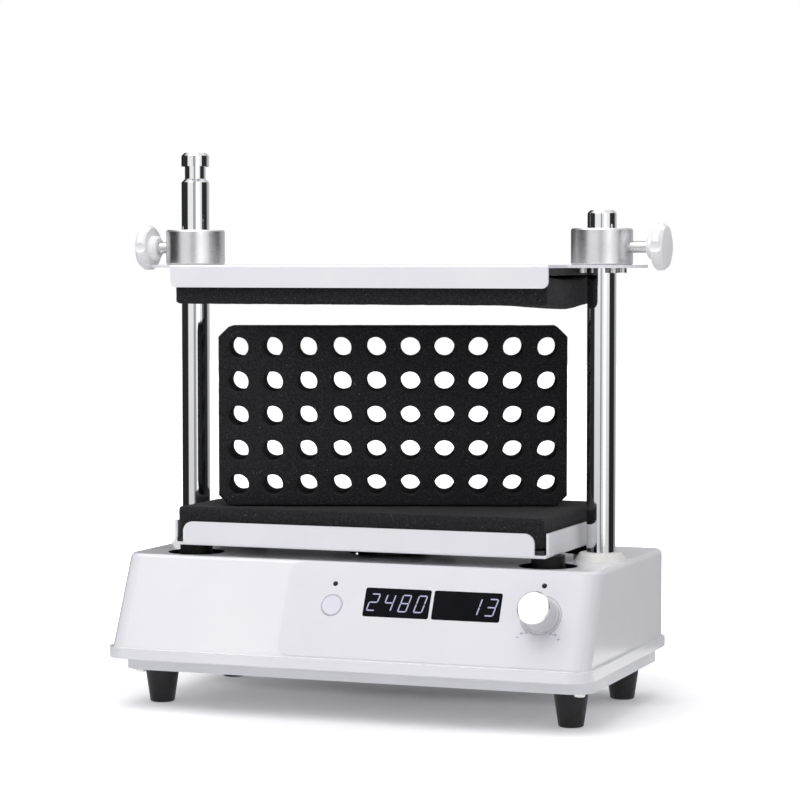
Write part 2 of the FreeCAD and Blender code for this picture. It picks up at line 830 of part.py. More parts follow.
def button_switch():
    """Small push switch on the board, behind the start button."""
    body = add_body("button_switch", face_frame, face_turn)
    sketch = add_sketch(body, "XY_Plane", "-board_depth")
    draw_box(sketch, "button_across - tact_width / 2", "button_across + tact_width / 2",
             "-button_down - tact_width / 2", "-button_down + tact_width / 2")
    add_pad(sketch, "tact_height")
    add_discs(body, [("button_across", "-button_down")], "tact_plunger_width / 2",
              "tact_height - board_depth", "tact_plunger")


def encoder_body():
    """Rotary encoder: block on the board and threaded bushing through the wall."""
    body = add_body("encoder_body", face_frame, face_turn)
    sketch = add_sketch(body, "XY_Plane", "-board_depth")
    draw_box(sketch, "knob_across - encoder_width / 2", "knob_across + encoder_width / 2",
             "-knob_down - encoder_width / 2", "-knob_down + encoder_width / 2")
    add_pad(sketch, "board_depth - cover_wall")
    place = [("knob_across", "-knob_down")]
    add_discs(body, place, "bushing_width / 2", "-cover_wall", "bushing_reach")
    cut_discs(body, place, "dial_shaft_width / 2 + close_gap", "-board_depth + encoder_floor",
              "board_depth + bushing_reach")


def draw_hexagon(sketch, x, y, across_flats):
    """A hexagon from its width across flats."""
    corners = []
    for step in range(6):
        angle = 60 * step
        corners.append((
            "%s + (%s) / 2 / cos(30) * cos(%d)" % (x, across_flats, angle),
            "%s + (%s) / 2 / cos(30) * sin(%d)" % (y, across_flats, angle),
        ))
    draw_polygon(sketch, corners)


def encoder_nut():
    """Flat nut on the bushing, under the knob."""
    body = add_body("encoder_nut", face_frame, face_turn)
    sketch = add_sketch(body, "XY_Plane")
    draw_hexagon(sketch, "knob_across", "-knob_down", "encoder_nut_width * cos(30)")
    draw_circle(sketch, "knob_across", "-knob_down", "bushing_width / 2 + close_gap")
    add_pad(sketch, "encoder_nut_thick")


def encoder_plunger():
    """Disc under the shaft that closes the encoder's push switch."""
    body = add_body("encoder_plunger", face_frame, face_turn)
    low = "-board_depth + encoder_floor + knob_press + touch_gap"
    add_discs(body, [("knob_across", "-knob_down")], "plunger_width / 2", low, "plunger_thick")


def encoder_shaft():
    """Dial shaft in the bushing, with the knob on its end."""
    body = add_body("encoder_shaft", face_frame, face_turn)
    low = "-board_depth + encoder_floor + plunger_thick + knob_press + 2 * touch_gap"
    add_discs(body, [("knob_across", "-knob_down")], "dial_shaft_width / 2", low,
              "knob_height - shaft_short - (%s)" % low)


def speed_knob():
    """Turned cap with a skirt ring, hollow round the nut, with a hub on the shaft."""
    body = add_body("speed_knob", ("knob_across", "-deck_front - knob_down * sin(face_lean)",
                                   "deck_height - knob_down * cos(face_lean)"), face_turn)
    hub = "(dial_shaft_width / 2 + knob_hub_wall)"
    bore = "(dial_shaft_width / 2 + close_gap)"
    cup = "(knob_width / 2 - knob_wall)"
    skirt = "(knob_skirt_width / 2)"
    add_turned(body, [
        ("0", "knob_height"),
        ("0", "knob_height - knob_roof"),
        (bore, "knob_height - knob_roof"),
        (bore, "bushing_reach - cover_wall + knob_hub_clear"),
        (hub, "bushing_reach - cover_wall + knob_hub_clear"),
        (hub, "knob_height - knob_cup_roof"),
        (cup, "knob_height - knob_cup_roof"),
        (cup, "knob_lift - skirt_drop"),
        (skirt, "knob_lift - skirt_drop"),
        (skirt, "knob_lift + skirt_rise"),
        ("knob_width / 2", "knob_lift + skirt_slope"),
        ("knob_width / 2 - knob_draft", "knob_height - knob_edge"),
        ("knob_width / 2 - knob_draft - knob_edge", "knob_height"),
    ])


def board_screw_places():
    """Screws near the board's corners."""
    inset = "board_boss_width"
    return [(x, y) for x in ("-board_left + " + inset, "board_right - " + inset)
            for y in ("-board_top - " + inset, "-board_bottom + " + inset)]


def control_board():
    """Circuit board behind the face."""
    body = add_body("control_board", face_frame, face_turn)
    sketch = add_sketch(body, "XY_Plane", "-board_depth - board_thick")
    draw_box(sketch, "-board_left", "board_right", "-board_bottom", "-board_top")
    add_pad(sketch, "board_thick")
    cut_discs(body, board_screw_places(), "board_screw_width / 2 + close_gap",
              "-board_depth - 2 * board_thick", "3 * board_thick")


def board_spacers():
    """Threaded spacers between the face's wall and the board."""
    body = add_body("board_spacers", face_frame, face_turn)
    add_discs(body, board_screw_places(), "board_boss_width / 2", "-board_depth", "board_depth - cover_wall")
    cut_discs(body, board_screw_places(), "board_screw_width / 2 + close_gap", "-board_depth",
              "board_thread")


def board_screws():
    """Screws from behind the board into the spacers."""
    body = add_body("board_screws", face_frame, face_turn)
    low = "-board_depth - board_thick"
    add_discs(body, board_screw_places(), "board_screw_head / 2", low + " - board_screw_cap",
              "board_screw_cap")
    add_discs(body, board_screw_places(), "board_screw_width / 2", low, "board_thick + board_screw_bite")


def chassis_plate():
    """Steel plate that carries the motor, the columns and the post seats."""
    body = add_body("chassis_plate")
    sketch = add_sketch(body, "XY_Plane", "chassis_height")
    draw_rounded_box(sketch, "-chassis_width / 2", "chassis_width / 2", "-chassis_depth / 2",
                     "chassis_depth / 2", "chassis_corner", "chassis_corner")
    for x, y in column_places:
        draw_circle(sketch, x, y, "stud_width / 2 + close_gap")
    draw_circle(sketch, motor_axis, "0", "motor_spigot / 2 + close_gap")
    for x, y in around("motor_screw_circle", 4, motor_axis, 45):
        draw_circle(sketch, x, y, "motor_screw_width / 2 + close_gap")
    for x, y in pillars:
        draw_circle(sketch, x, y, "chassis_screw_width / 2 + close_gap")
    add_pad(sketch, "chassis_sheet")


def chassis_pillars():
    """Spacers pressed into the pan, under the chassis plate."""
    body = add_body("chassis_pillars")
    add_discs(body, pillars, "pillar_spigot / 2", "foot_height", "pan_sheet")
    add_discs(body, pillars, "pillar_width / 2", pan_floor_top, "chassis_height - (%s)" % pan_floor_top)
    cut_discs(body, pillars, "chassis_screw_width / 2 + close_gap", "chassis_height - 13", "13")


def chassis_screws():
    """Screws down through the chassis plate into the pillars."""
    body = add_body("chassis_screws")
    add_discs(body, pillars, "chassis_screw_head / 2", chassis_top, "chassis_screw_head_height")
    add_discs(body, pillars, "chassis_screw_width / 2", "chassis_height - 12", "12 + chassis_sheet")


def motor():
    """Flat motor hung under the chassis plate, with its spigot in the plate."""
    body = add_body("motor", (motor_axis, "0", "chassis_height - motor_length"))
    add_turned(body, [
        ("motor_shaft_width / 2 + close_gap", "3"),
        ("motor_shaft_width / 2 + close_gap", "motor_length + motor_spigot_height"),
        ("motor_spigot / 2", "motor_length + motor_spigot_height"),
        ("motor_spigot / 2", "motor_length"),
        ("motor_width / 2", "motor_length"),
        ("motor_width / 2", "motor_edge"),
        ("motor_width / 2 - motor_edge", "0"),
        ("0", "0"),
        ("0", "3"),
    ])
    cut_discs(body, around("motor_screw_circle", 4, "0", 45), "motor_screw_width / 2 + close_gap",
              "motor_length - 9", "10")


def motor_screws():
    """Screws down through the plate into the motor."""
    body = add_body("motor_screws")
    places = around("motor_screw_circle", 4, motor_axis, 45)
    add_discs(body, places, "motor_screw_head / 2", chassis_top, "motor_screw_head_height - 0.4")
    add_discs(body, places, "motor_screw_width / 2", "chassis_height - 8", "8 + chassis_sheet")


def motor_shaft():
    """Shaft from inside the motor up into the coupling."""
    body = add_body("motor_shaft", (motor_axis, "0", "0"))
    low = "chassis_height - motor_length + 3.3"
    add_discs(body, middle, "motor_shaft_width / 2", low,
              "coupling_bottom + coupling_height - 2 - (%s)" % low)


def eccentric_coupling():
    """Clamp hub on the shaft with the off-centre pin on top."""
    body = add_body("eccentric_coupling", (motor_axis, "0", "coupling_bottom"))
    add_discs(body, middle, "coupling_width / 2", "0", "coupling_height")
    pin = add_discs(body, [("orbit_radius", "0")], "pin_width / 2 - close_gap", "coupling_height", "pin_reach")
    top = "coupling_height + pin_reach"
    bevel_edges(body, find_edges(pin, z=(top, top)), "1")
    cut_discs(body, middle, "motor_shaft_width / 2 + close_gap", "0", "coupling_height - 2")


def counterweight():
    """Half disc opposite the pin."""
    body = add_body("counterweight", (motor_axis, "0", "weight_bottom"))
    add_discs(body, middle, "weight_radius", "0", "weight_thick")
    half = add_sketch(body, "XY_Plane")
    draw_box(half, "-weight_setback", "weight_radius + 1", "-weight_radius - 1", "weight_radius + 1")
    add_pocket(half, "weight_thick")
    cut_discs(body, middle, "coupling_width / 2 + close_gap", "0", "weight_thick")


def hub_bearing():
    """Ball bearing in the tray hub, round the pin."""
    body = add_body("hub_bearing", ("0", "0", "%s + hub_lead" % hub_low))
    add_turned(body, [
        ("pin_width / 2", "0"),
        ("bearing_width / 2 - close_gap", "0"),
        ("bearing_width / 2 - close_gap", "bearing_thick"),
        ("pin_width / 2", "bearing_thick"),
    ])


def tray_hub():
    """Round hub under the tray, open below for the bearing."""
    body = add_body("tray_hub", ("0", "0", hub_low))
    seat = "(hub_lead + bearing_thick)"
    add_turned(body, [
        ("0", "hub_length + hub_flange_thick"),
        ("0", "hub_length + hub_flange_thick - hub_roof"),
        ("pin_width / 2 + 3", "hub_length + hub_flange_thick - hub_roof"),
        ("pin_width / 2 + 3", seat),
        ("bearing_width / 2", seat),
        ("bearing_width / 2", "0"),
        ("hub_width / 2", "0"),
        ("hub_width / 2", "hub_length"),
        ("hub_flange_width / 2", "hub_length"),
        ("hub_flange_width / 2", "hub_length + hub_flange_thick"),
    ])
    cut_discs(body, around("hub_screw_circle", 4), "hub_screw_width / 2 + close_gap", "hub_length",
              "hub_flange_thick")


def hub_screws():
    """Screws down through the tray into the hub's disc."""
    body = add_body("hub_screws")
    places = around("hub_screw_circle", 4)
    add_discs(body, places, "hub_screw_head / 2", tray_top, "flat_head_height")
    add_discs(body, places, "hub_screw_width / 2", hub_flange_low, "hub_flange_thick + tray_sheet")


def tray():
    """Folded sheet tray with four separate rims."""
    body = add_body("tray")
    floor = add_sketch(body, "XY_Plane", "tray_height")
    draw_box(floor, "-tray_width / 2", "tray_width / 2", "-tray_depth / 2", "tray_depth / 2")
    add_pad(floor, "tray_sheet")
    rims = add_sketch(body, "XY_Plane", tray_top)
    for side in ("", "-"):
        outer = "%stray_depth / 2" % side
        inner = "%s(tray_depth / 2 - tray_sheet)" % side
        draw_box(rims, "-tray_long_rim / 2", "tray_long_rim / 2", inner, outer)
        outer = "%stray_width / 2" % side
        inner = "%s(tray_width / 2 - tray_sheet)" % side
        draw_box(rims, inner, outer, "-tray_short_rim / 2", "tray_short_rim / 2")
    rim = add_pad(rims, "tray_rim - tray_sheet")
    top = "tray_height + tray_rim"
    corners = []
    for side in ("", "-"):
        across = ("%stray_long_rim / 2" % side,) * 2
        corners += find_edges(rim, x=across, z=(top, top), straight=True)
    round_edges(body, corners, "tray_rim_corner")
    low = ("tray_height", "tray_height")
    folds = find_edges(body.Group[-1], z=low, straight=True)
    round_edges(body, folds, "tray_sheet - 0.2")
    cut_discs(body, posts + around("hub_screw_circle", 4), "hub_screw_width / 2 + close_gap",
              "tray_height", "tray_sheet")


def tray_posts():
    """Four rubber posts under the tray's corners."""
    body = add_body("tray_posts")
    low = "%s + soft_gap" % chassis_top
    rods = add_discs(body, posts, "post_width / 2", low, "tray_height - (%s)" % low)
    round_edges(body, find_edges(rods, z=(low, low)), "post_edge")
    cut_discs(body, posts, "hub_screw_width / 2 + close_gap", "tray_height - 12", "12")


def post_screws():
    """Screws down through the tray into the posts."""
    body = add_body("post_screws")
    add_discs(body, posts, "hub_screw_head / 2", tray_top, "flat_head_height")
    add_discs(body, posts, "hub_screw_width / 2", "tray_height - 11", "11 + tray_sheet")


def lower_board():
    """Backing sheet of the lower pad, cut away over the screw heads."""
    body = add_body("tray_backing")
    sketch = add_sketch(body, "XY_Plane", tray_top)
    draw_box(sketch, "-lower_pad_width / 2", "lower_pad_width / 2",
             "-lower_pad_depth / 2", "lower_pad_depth / 2")
    add_pad(sketch, "lower_board_thick")
    cut_discs(body, posts + around("hub_screw_circle", 4), "hub_screw_head / 2 + 1.5", tray_top,
              "lower_board_thick")


def lower_foam_pad():
    """Foam block on the tray."""
    body = add_body("lower_foam_pad")
    sketch = add_sketch(body, "XY_Plane", lower_foam_low)
    draw_box(sketch, "-lower_pad_width / 2", "lower_pad_width / 2",
             "-lower_pad_depth / 2", "lower_pad_depth / 2")
    block = add_pad(sketch, "lower_foam_thick")
    top = "%s + lower_foam_thick" % lower_foam_low
    round_edges(body, find_edges(block, z=(top, top)), "pad_edge")


def tube_rack():
    """Foam rack on its long edge, with rows of through holes for tubes."""
    body = add_body("tube_rack", ("rack_left", "rack_front", rack_bottom), (Vector(0, 0, 1), "rack_turn"))
    outline = add_sketch(body, "XZ_Plane")
    draw_polygon(outline, [
        ("rack_corner", "0"),
        ("rack_length - rack_corner", "0"),
        ("rack_length", "rack_corner"),
        ("rack_length", "rack_height - rack_corner"),
        ("rack_length - rack_corner", "rack_height"),
        ("rack_corner", "rack_height"),
        ("0", "rack_height - rack_corner"),
        ("0", "rack_corner"),
    ])
    block = add_pad(outline, "rack_thick")
    block.Reversed = True
    first = add_sketch(body, "XZ_Plane")
    draw_circle(first, "rack_length / 2 - (tubes_along - 1) * tube_pitch / 2",
                "rack_height / 2 - (tubes_up - 1) * tube_pitch / 2", "tube_hole_width / 2")
    hole = add_pocket(first, "rack_thick", forward=False)
    grid = body.newObject("PartDesign::LinearPattern", "tube_holes")
    grid.Originals = [hole]
    grid.Direction = (first, ["H_Axis"])
    grid.Direction2 = (first, ["V_Axis"])
    bind(grid, "Length", "(tubes_along - 1) * tube_pitch")
    bind(grid, "Length2", "(tubes_up - 1) * tube_pitch")
    bind(grid, "Occurrences", "tubes_along")
    bind(grid, "Occurrences2", "tubes_up")
    body.Tip = grid


def left_column():
    """Taller column, with a neck that catches the raised clamp."""
    body = add_body("left_column", ("-column_spacing / 2", "0", "0"))
    add_turned(body, [
        ("0", "%s - stud_reach - chassis_sheet" % chassis_top),
        ("stud_width / 2", "%s - stud_reach - chassis_sheet" % chassis_top),
        ("stud_width / 2", chassis_top),
        ("column_width / 2", chassis_top),
        ("column_width / 2", "neck_low - (column_width - neck_width) / 2"),
        ("neck_width / 2", "neck_low"),
        ("neck_width / 2", "neck_high"),
        ("column_width / 2", "neck_high"),
        ("column_width / 2", "left_column_top - column_chamfer"),
        ("column_width / 2 - column_chamfer", "left_column_top"),
        ("0", "left_column_top"),
    ])


def right_column():
    """Plain column with a bevelled top."""
    body = add_body("right_column", ("column_spacing / 2", "0", "0"))
    add_turned(body, [
        ("0", "%s - stud_reach - chassis_sheet" % chassis_top),
        ("stud_width / 2", "%s - stud_reach - chassis_sheet" % chassis_top),
        ("stud_width / 2", chassis_top),
        ("column_width / 2", chassis_top),
        ("column_width / 2", "right_column_top - column_chamfer"),
        ("column_width / 2 - column_chamfer", "right_column_top"),
        ("0", "right_column_top"),
    ])


def column_nuts():
    """Nuts on the columns' studs, under the chassis plate."""
    body = add_body("column_nuts")
    sketch = add_sketch(body, "XY_Plane", "chassis_height - nut_thick")
    for x, y in column_places:
        draw_hexagon(sketch, x, y, "nut_across")
        draw_circle(sketch, x, y, "stud_width / 2 + close_gap")
    add_pad(sketch, "nut_thick")


def column_trim_rings():
    """Domed rings round the columns, on the deck."""
    body = add_body("column_trim_rings")
    draft = "-atan((trim_ring_width - trim_ring_top_width) / 2 / trim_ring_height)"
    rings = add_discs(body, column_places, "trim_ring_width / 2", "deck_height", "trim_ring_height",
                      taper=draft)
    top = "deck_height + trim_ring_height"
    round_edges(body, find_edges(rings, z=(top, top)), "1.6")
    cut_discs(body, column_places, "column_width / 2 + close_gap", "deck_height", "trim_ring_height")


def top_plate():
    """Folded sheet with front and back rims and an ear round each column."""
    body = add_body("top_plate")
    plate = add_sketch(body, "XY_Plane", "plate_height")
    draw_box(plate, "-plate_width / 2", "plate_width / 2", "-plate_depth / 2", "plate_depth / 2")
    add_pad(plate, "plate_sheet")
    ears = add_sketch(body, "XY_Plane", "plate_height")
    draw_rounded_box(ears, "-ear_span / 2", "ear_span / 2", "-ear_width / 2", "ear_width / 2",
                     "ear_corner", "ear_corner")
    add_pad(ears, "plate_sheet")
    rims = add_sketch(body, "XY_Plane", "plate_height - plate_rim")
    for side in ("", "-"):
        draw_box(rims, "-plate_width / 2", "plate_width / 2",
                 "%s(plate_depth / 2 - plate_sheet)" % side, "%splate_depth / 2" % side)
    rim = add_pad(rims, "plate_rim")
    low = "plate_height - plate_rim"
    corners = []
    for side in ("", "-"):
        across = ("%splate_width / 2" % side,) * 2
        corners += find_edges(rim, x=across, z=(low, low), straight=True)
    round_edges(body, corners, "plate_rim_corner")
    folds = find_edges(body.Group[-1], z=(plate_top, plate_top), x=("-plate_width / 2", "plate_width / 2"),
                       straight=True)
    long_folds = []
    for name in folds:
        if body.Group[-1].Shape.getElement(name).Length > number("plate_width / 2"):
            long_folds.append(name)
    round_edges(body, long_folds, "plate_sheet - 0.2")
    cut_discs(body, column_places, "column_width / 2 + 2 * loose_gap", "plate_height", "plate_sheet")
    cut_discs(body, collar_screw_places, "collar_screw_width / 2 + loose_gap",
              "plate_height", "plate_sheet")


def upper_backing():
    """Stiff board between the top plate and the foam."""
    body = add_body("upper_backing")
    sketch = add_sketch(body, "XY_Plane", "plate_height - upper_board_thick")
    draw_box(sketch, "-upper_pad_width / 2", "upper_pad_width / 2",
             "-upper_pad_depth / 2", "upper_pad_depth / 2")
    add_pad(sketch, "upper_board_thick")


def upper_foam_pad():
    """Foam block that presses on the rack."""
    body = add_body("upper_foam_pad")
    high = "plate_height - upper_board_thick - soft_gap"
    sketch = add_sketch(body, "XY_Plane", "%s - upper_foam_thick" % high)
    draw_box(sketch, "-upper_pad_width / 2", "upper_pad_width / 2",
             "-upper_pad_depth / 2", "upper_pad_depth / 2")
    block = add_pad(sketch, "upper_foam_thick")
    low = "%s - upper_foam_thick" % high
    round_edges(body, find_edges(block, z=(low, low)), "pad_edge")


def collar(side, centre, turn):
    """Turned collar on its column, drilled across for the clamp screw."""
    body = add_body(side + "_collar", (centre, "0", plate_top), (Vector(0, 0, 1), turn))
    bore = "(column_width / 2 + close_gap)"
    edge = "(collar_width / 2 - collar_edge)"
    add_turned(body, [
        (bore + " + collar_edge / 2", "0"),
        (edge, "0"),
        ("collar_width / 2", "collar_edge"),
        ("collar_width / 2", "collar_height - collar_edge"),
        (edge, "collar_height"),
        (bore + " + collar_edge / 2", "collar_height"),
        (bore, "collar_height - collar_edge / 2"),
        (bore, "collar_edge / 2"),
    ])
    cross = add_sketch(body, "YZ_Plane")
    draw_circle(cross, "0", "clamp_height", "clamp_screw_width / 2 + close_gap")
    add_pocket(cross, "collar_width")
    cut_discs(body, four_corners("collar_screw_spacing", "collar_screw_spacing"),
              "collar_screw_width / 2 + close_gap", "0", "collar_screw_reach + 1")


def collar_screws():
    """Screws up through the top plate into the collars."""
    body = add_body("collar_screws")
    add_discs(body, collar_screw_places, "collar_screw_head / 2", "plate_height - collar_screw_head_height",
              "collar_screw_head_height")
    add_discs(body, collar_screw_places, "collar_screw_width / 2", "plate_height",
              "plate_sheet + collar_screw_reach")


def star_knob(side, centre, turn, reach):
    """Moulded knob with six lobes, a boss and a domed face."""
    body = add_body(side + "_star_knob", (centre, "0", plate_top + " + clamp_height"),
                    (Vector(0, 0, 1), turn))
    face = "(%s + star_boss_length + star_thick)" % reach
    add_turned(body, [
        ("%s + clamp_screw_depth" % reach, "0"),
        ("%s + clamp_screw_depth" % reach, "clamp_screw_width / 2 + close_gap"),
        (reach, "clamp_screw_width / 2 + close_gap"),
        (reach, "star_boss_width / 2 - star_boss_edge"),
        (reach + " + star_boss_edge", "star_boss_width / 2"),
        (reach + " + star_boss_length", "star_boss_width / 2"),
        (reach + " + star_boss_length", "star_width / 2 - star_edge"),
        (reach + " + star_boss_length + star_edge", "star_width / 2"),
        (face + " - star_face_edge", "star_width / 2"),
        (face, "star_width / 2 - star_face_round"),
        (face + " + star_dome * star_dome_share", "star_width / 4"),
        (face + " + star_dome", "0"),
    ], axis="H_Axis")
    notch = add_sketch(body, "YZ_Plane", reach + " + star_boss_length - notch_over")
    draw_circle(notch, "star_notch_circle / 2", "0", "star_notch_radius")
    first = add_pocket(notch, "star_thick + star_dome + 2 * notch_over")
    ring = body.newObject("PartDesign::PolarPattern", side + "_lobes")
    ring.Originals = [first]
    ring.Axis = (notch, ["N_Axis"])
    ring.Angle = 360
    ring.Occurrences = 6
    body.Tip = ring


def clamp_screw(side, centre, turn, reach):
    """Threaded rod from inside the collar into the knob."""
    body = add_body(side + "_clamp_screw", (centre, "0", plate_top + " + clamp_height"),
                    (Vector(0, 0, 1), turn))
    start = "(column_width / 2 + loose_gap + tip_length + touch_gap)"
    end = "(%s + clamp_screw_depth)" % reach
    add_turned(body, [
        (start, "0"),
        (start, "clamp_screw_width / 2 - rod_edge"),
        (start + " + rod_edge", "clamp_screw_width / 2"),
        (end + " - rod_edge", "clamp_screw_width / 2"),
        (end, "clamp_screw_width / 2 - rod_edge"),
        (end, "0"),
    ], axis="H_Axis")


def tip_pad(side, centre, turn):
    """Loose pad at the screw's end that grips the column."""
    body = add_body(side + "_tip_pad", (centre, "0", plate_top + " + clamp_height"),
                    (Vector(0, 0, 1), turn))
    start = "(column_width / 2 + loose_gap)"
    add_turned(body, [
        (start, "0"),
        (start, "tip_width / 2"),
        (start + " + tip_length", "tip_width / 2"),
        (start + " + tip_length", "0"),
    ], axis="H_Axis")


def power_inlet():
    """Appliance inlet with a socket above and a slot for the fuse drawer below."""
    body = add_body("power_inlet", ("inlet_across", "deck_back", "inlet_up"), (Vector(0, 1, 1), "180"))
    flange = add_sketch(body, "XY_Plane")
    draw_rounded_box(flange, "-inlet_width / 2", "inlet_width / 2", "-inlet_height / 2", "inlet_height / 2",
                     "inlet_corner", "inlet_corner")
    add_pad(flange, "inlet_flange")
    block = add_sketch(body, "XY_Plane", "-inlet_depth")
    draw_box(block, "-inlet_width / 2 + inlet_shoulder", "inlet_width / 2 - inlet_shoulder",
             "-inlet_height / 2 + inlet_shoulder", "inlet_height / 2 - inlet_shoulder")
    add_pad(block, "inlet_depth")
    socket = add_sketch(body, "XY_Plane", "inlet_flange - socket_depth")
    draw_polygon(socket, [
        ("-socket_width / 2", "socket_up - socket_height / 2"),
        ("socket_width / 2", "socket_up - socket_height / 2"),
        ("socket_width / 2", "socket_up + socket_height / 2 - socket_bevel"),
        ("socket_width / 2 - socket_bevel", "socket_up + socket_height / 2"),
        ("-socket_width / 2 + socket_bevel", "socket_up + socket_height / 2"),
        ("-socket_width / 2", "socket_up + socket_height / 2 - socket_bevel"),
    ])
    add_pocket(socket, "socket_depth")
    slot = add_sketch(body, "XY_Plane", "inlet_flange - drawer_depth - drawer_end_gap")
    draw_box(slot, "-drawer_width / 2 - drawer_gap", "drawer_width / 2 + drawer_gap",
             "-drawer_down - drawer_height / 2 - drawer_gap", "-drawer_down + drawer_height / 2 + drawer_gap")
    add_pocket(slot, "drawer_depth + drawer_end_gap")


def inlet_pins():
    """Three flat pins in the socket."""
    body = add_body("inlet_pins", ("inlet_across", "deck_back", "inlet_up"), (Vector(0, 1, 1), "180"))
    sketch = add_sketch(body, "XY_Plane", "inlet_flange - socket_depth")
    for x, y in (
        ("-pin_spread / 2", "socket_up - pin_offset"),
        ("pin_spread / 2", "socket_up - pin_offset"),
        ("0", "socket_up + pin_offset"),
    ):
        draw_box(sketch, x + " - pin_blade_width / 2", x + " + pin_blade_width / 2",
                 y + " - pin_blade_height / 2", y + " + pin_blade_height / 2")
    add_pad(sketch, "pin_blade_length")


def fuse_drawer():
    """Drawer with two fuse troughs and a lip to pull it by."""
    body = add_body("fuse_drawer", ("inlet_across", "deck_back", "inlet_up - drawer_down"),
                    (Vector(0, 1, 1), "180"))
    block = add_sketch(body, "XY_Plane", "inlet_flange - drawer_depth")
    draw_box(block, "-drawer_width / 2", "drawer_width / 2", "-drawer_height / 2", "drawer_height / 2")
    add_pad(block, "drawer_depth")
    lip = add_sketch(body, "XY_Plane", "inlet_flange")
    draw_box(lip, "-drawer_width / 4", "drawer_width / 4", "-drawer_height / 2", "0")
    add_pad(lip, "drawer_lip")
    trough = add_sketch(body, "XZ_Plane", "-drawer_height")
    for side in ("-", ""):
        middle_x = "%sdrawer_width / 4" % side
        draw_box(trough, middle_x + " - trough_width / 2", middle_x + " + trough_width / 2",
                 "inlet_flange - drawer_depth + trough_back", "inlet_flange - trough_front")
    add_pocket(trough, "drawer_height * trough_reach", forward=True)


def power_switch():
    """Frame of the rocker switch in the back wall."""
    body = add_body("power_switch", ("switch_across", "deck_back", "inlet_up"), (Vector(0, 1, 1), "180"))
    flange = add_sketch(body, "XY_Plane")
    draw_rounded_box(flange, "-switch_width / 2", "switch_width / 2", "-switch_height / 2", "switch_height / 2",
                     "switch_corner", "switch_corner")
    add_pad(flange, "inlet_flange - switch_lower")
    block = add_sketch(body, "XY_Plane", "-switch_depth")
    draw_box(block, "-switch_width / 2 + switch_shoulder", "switch_width / 2 - switch_shoulder",
             "-switch_height / 2 + switch_shoulder", "switch_height / 2 - switch_shoulder")
    add_pad(block, "switch_depth")
    well = add_sketch(body, "XY_Plane", "-well_depth")
    draw_box(well, "-rocker_width / 2 - loose_gap", "rocker_width / 2 + loose_gap",
             "-rocker_height / 2 - well_gap", "rocker_height / 2 + well_gap")
    add_pocket(well, "well_cut")
    seat = add_sketch(body, "YZ_Plane", "-switch_width / 2")
    draw_circle(seat, "0", "-rocker_inset", "rocker_pivot / 2 + close_gap")
    add_pocket(seat, "switch_width")


def switch_rocker():
    """Rocker, leaning to its off side."""
    body = add_body("switch_rocker", ("switch_across", "deck_back - rocker_inset", "inlet_up"),
                    (Vector(0, 1, 1), "180"))
    side = add_sketch(body, "YZ_Plane", "-rocker_width / 2")
    reach = "(rocker_height / 2)"
    face = "rocker_rise"
    points = []
    for y, z in (
        (reach, "-rocker_skirt"),
        (reach, face + " + %s * tan(rocker_tilt)" % reach),
        ("0", face),
        ("-" + reach, face + " + %s * tan(rocker_tilt)" % reach),
        ("-" + reach, "-rocker_skirt"),
        ("0", "-rocker_keel"),
    ):
        points.append(("(%s) * cos(rocker_tilt) - (%s) * sin(rocker_tilt)" % (y, z),
                       "(%s) * sin(rocker_tilt) + (%s) * cos(rocker_tilt)" % (y, z)))
    draw_polygon(side, points)
    add_pad(side, "rocker_width")
    pivot = add_sketch(body, "YZ_Plane", "-rocker_width / 2 - rocker_stud")
    draw_circle(pivot, "0", "0", "rocker_pivot / 2")
    add_pad(pivot, "rocker_width + 2 * rocker_stud")


def power_supply():
    """Closed power supply on the pan's floor."""
    body = add_body("power_supply", ("supply_across", "0", pan_floor_top))
    case = add_sketch(body, "XY_Plane")
    draw_box(case, "-supply_length / 2", "supply_length / 2", "-supply_width / 2", "supply_width / 2")
    add_pad(case, "supply_height")
    step = add_sketch(body, "XY_Plane", "supply_height / 2")
    draw_box(step, "-supply_length / 2", "-supply_length / 2 + supply_step",
             "-supply_width / 2 + supply_step_inset", "supply_width / 2 - supply_step_inset")
    add_pocket(step, "supply_height")


def motor_driver():
    """Driver board on spacers, with a finned heat sink."""
    body = add_body("motor_driver", ("driver_across", "0", pan_floor_top))
    half_length = "(driver_length / 2)"
    half_width = "(driver_width / 2)"
    ends = (("", " - driver_foot_inset"), ("-", " + driver_foot_inset"))
    places = [(side_x + half_length + inset_x, side_y + half_width + inset_y)
              for side_x, inset_x in ends for side_y, inset_y in ends]
    add_discs(body, places, "driver_foot_width / 2", "0", "driver_lift")
    board = add_sketch(body, "XY_Plane", "driver_lift")
    draw_box(board, "-" + half_length, half_length, "-" + half_width, half_width)
    add_pad(board, "board_thick")
    sink = add_sketch(body, "XY_Plane", "driver_lift + board_thick")
    draw_box(sink, "-" + half_length + " + sink_start", half_length + " - sink_end",
             "-" + half_width + " + sink_inset", half_width + " - sink_inset")
    add_pad(sink, "sink_height")
    grooves = add_sketch(body, "XY_Plane", "driver_lift + board_thick + sink_base")
    draw_box(grooves, "-" + half_length + " + groove_start",
             "-" + half_length + " + groove_start + groove_width",
             "-" + half_width, half_width)
    groove = add_pocket(grooves, "sink_height")
    row = body.newObject("PartDesign::LinearPattern", "sink_grooves")
    row.Originals = [groove]
    row.Direction = (grooves, ["H_Axis"])
    row.Mode = "Spacing"
    bind(row, "Offset", "groove_pitch")
    row.Occurrences = 5
    body.Tip = row


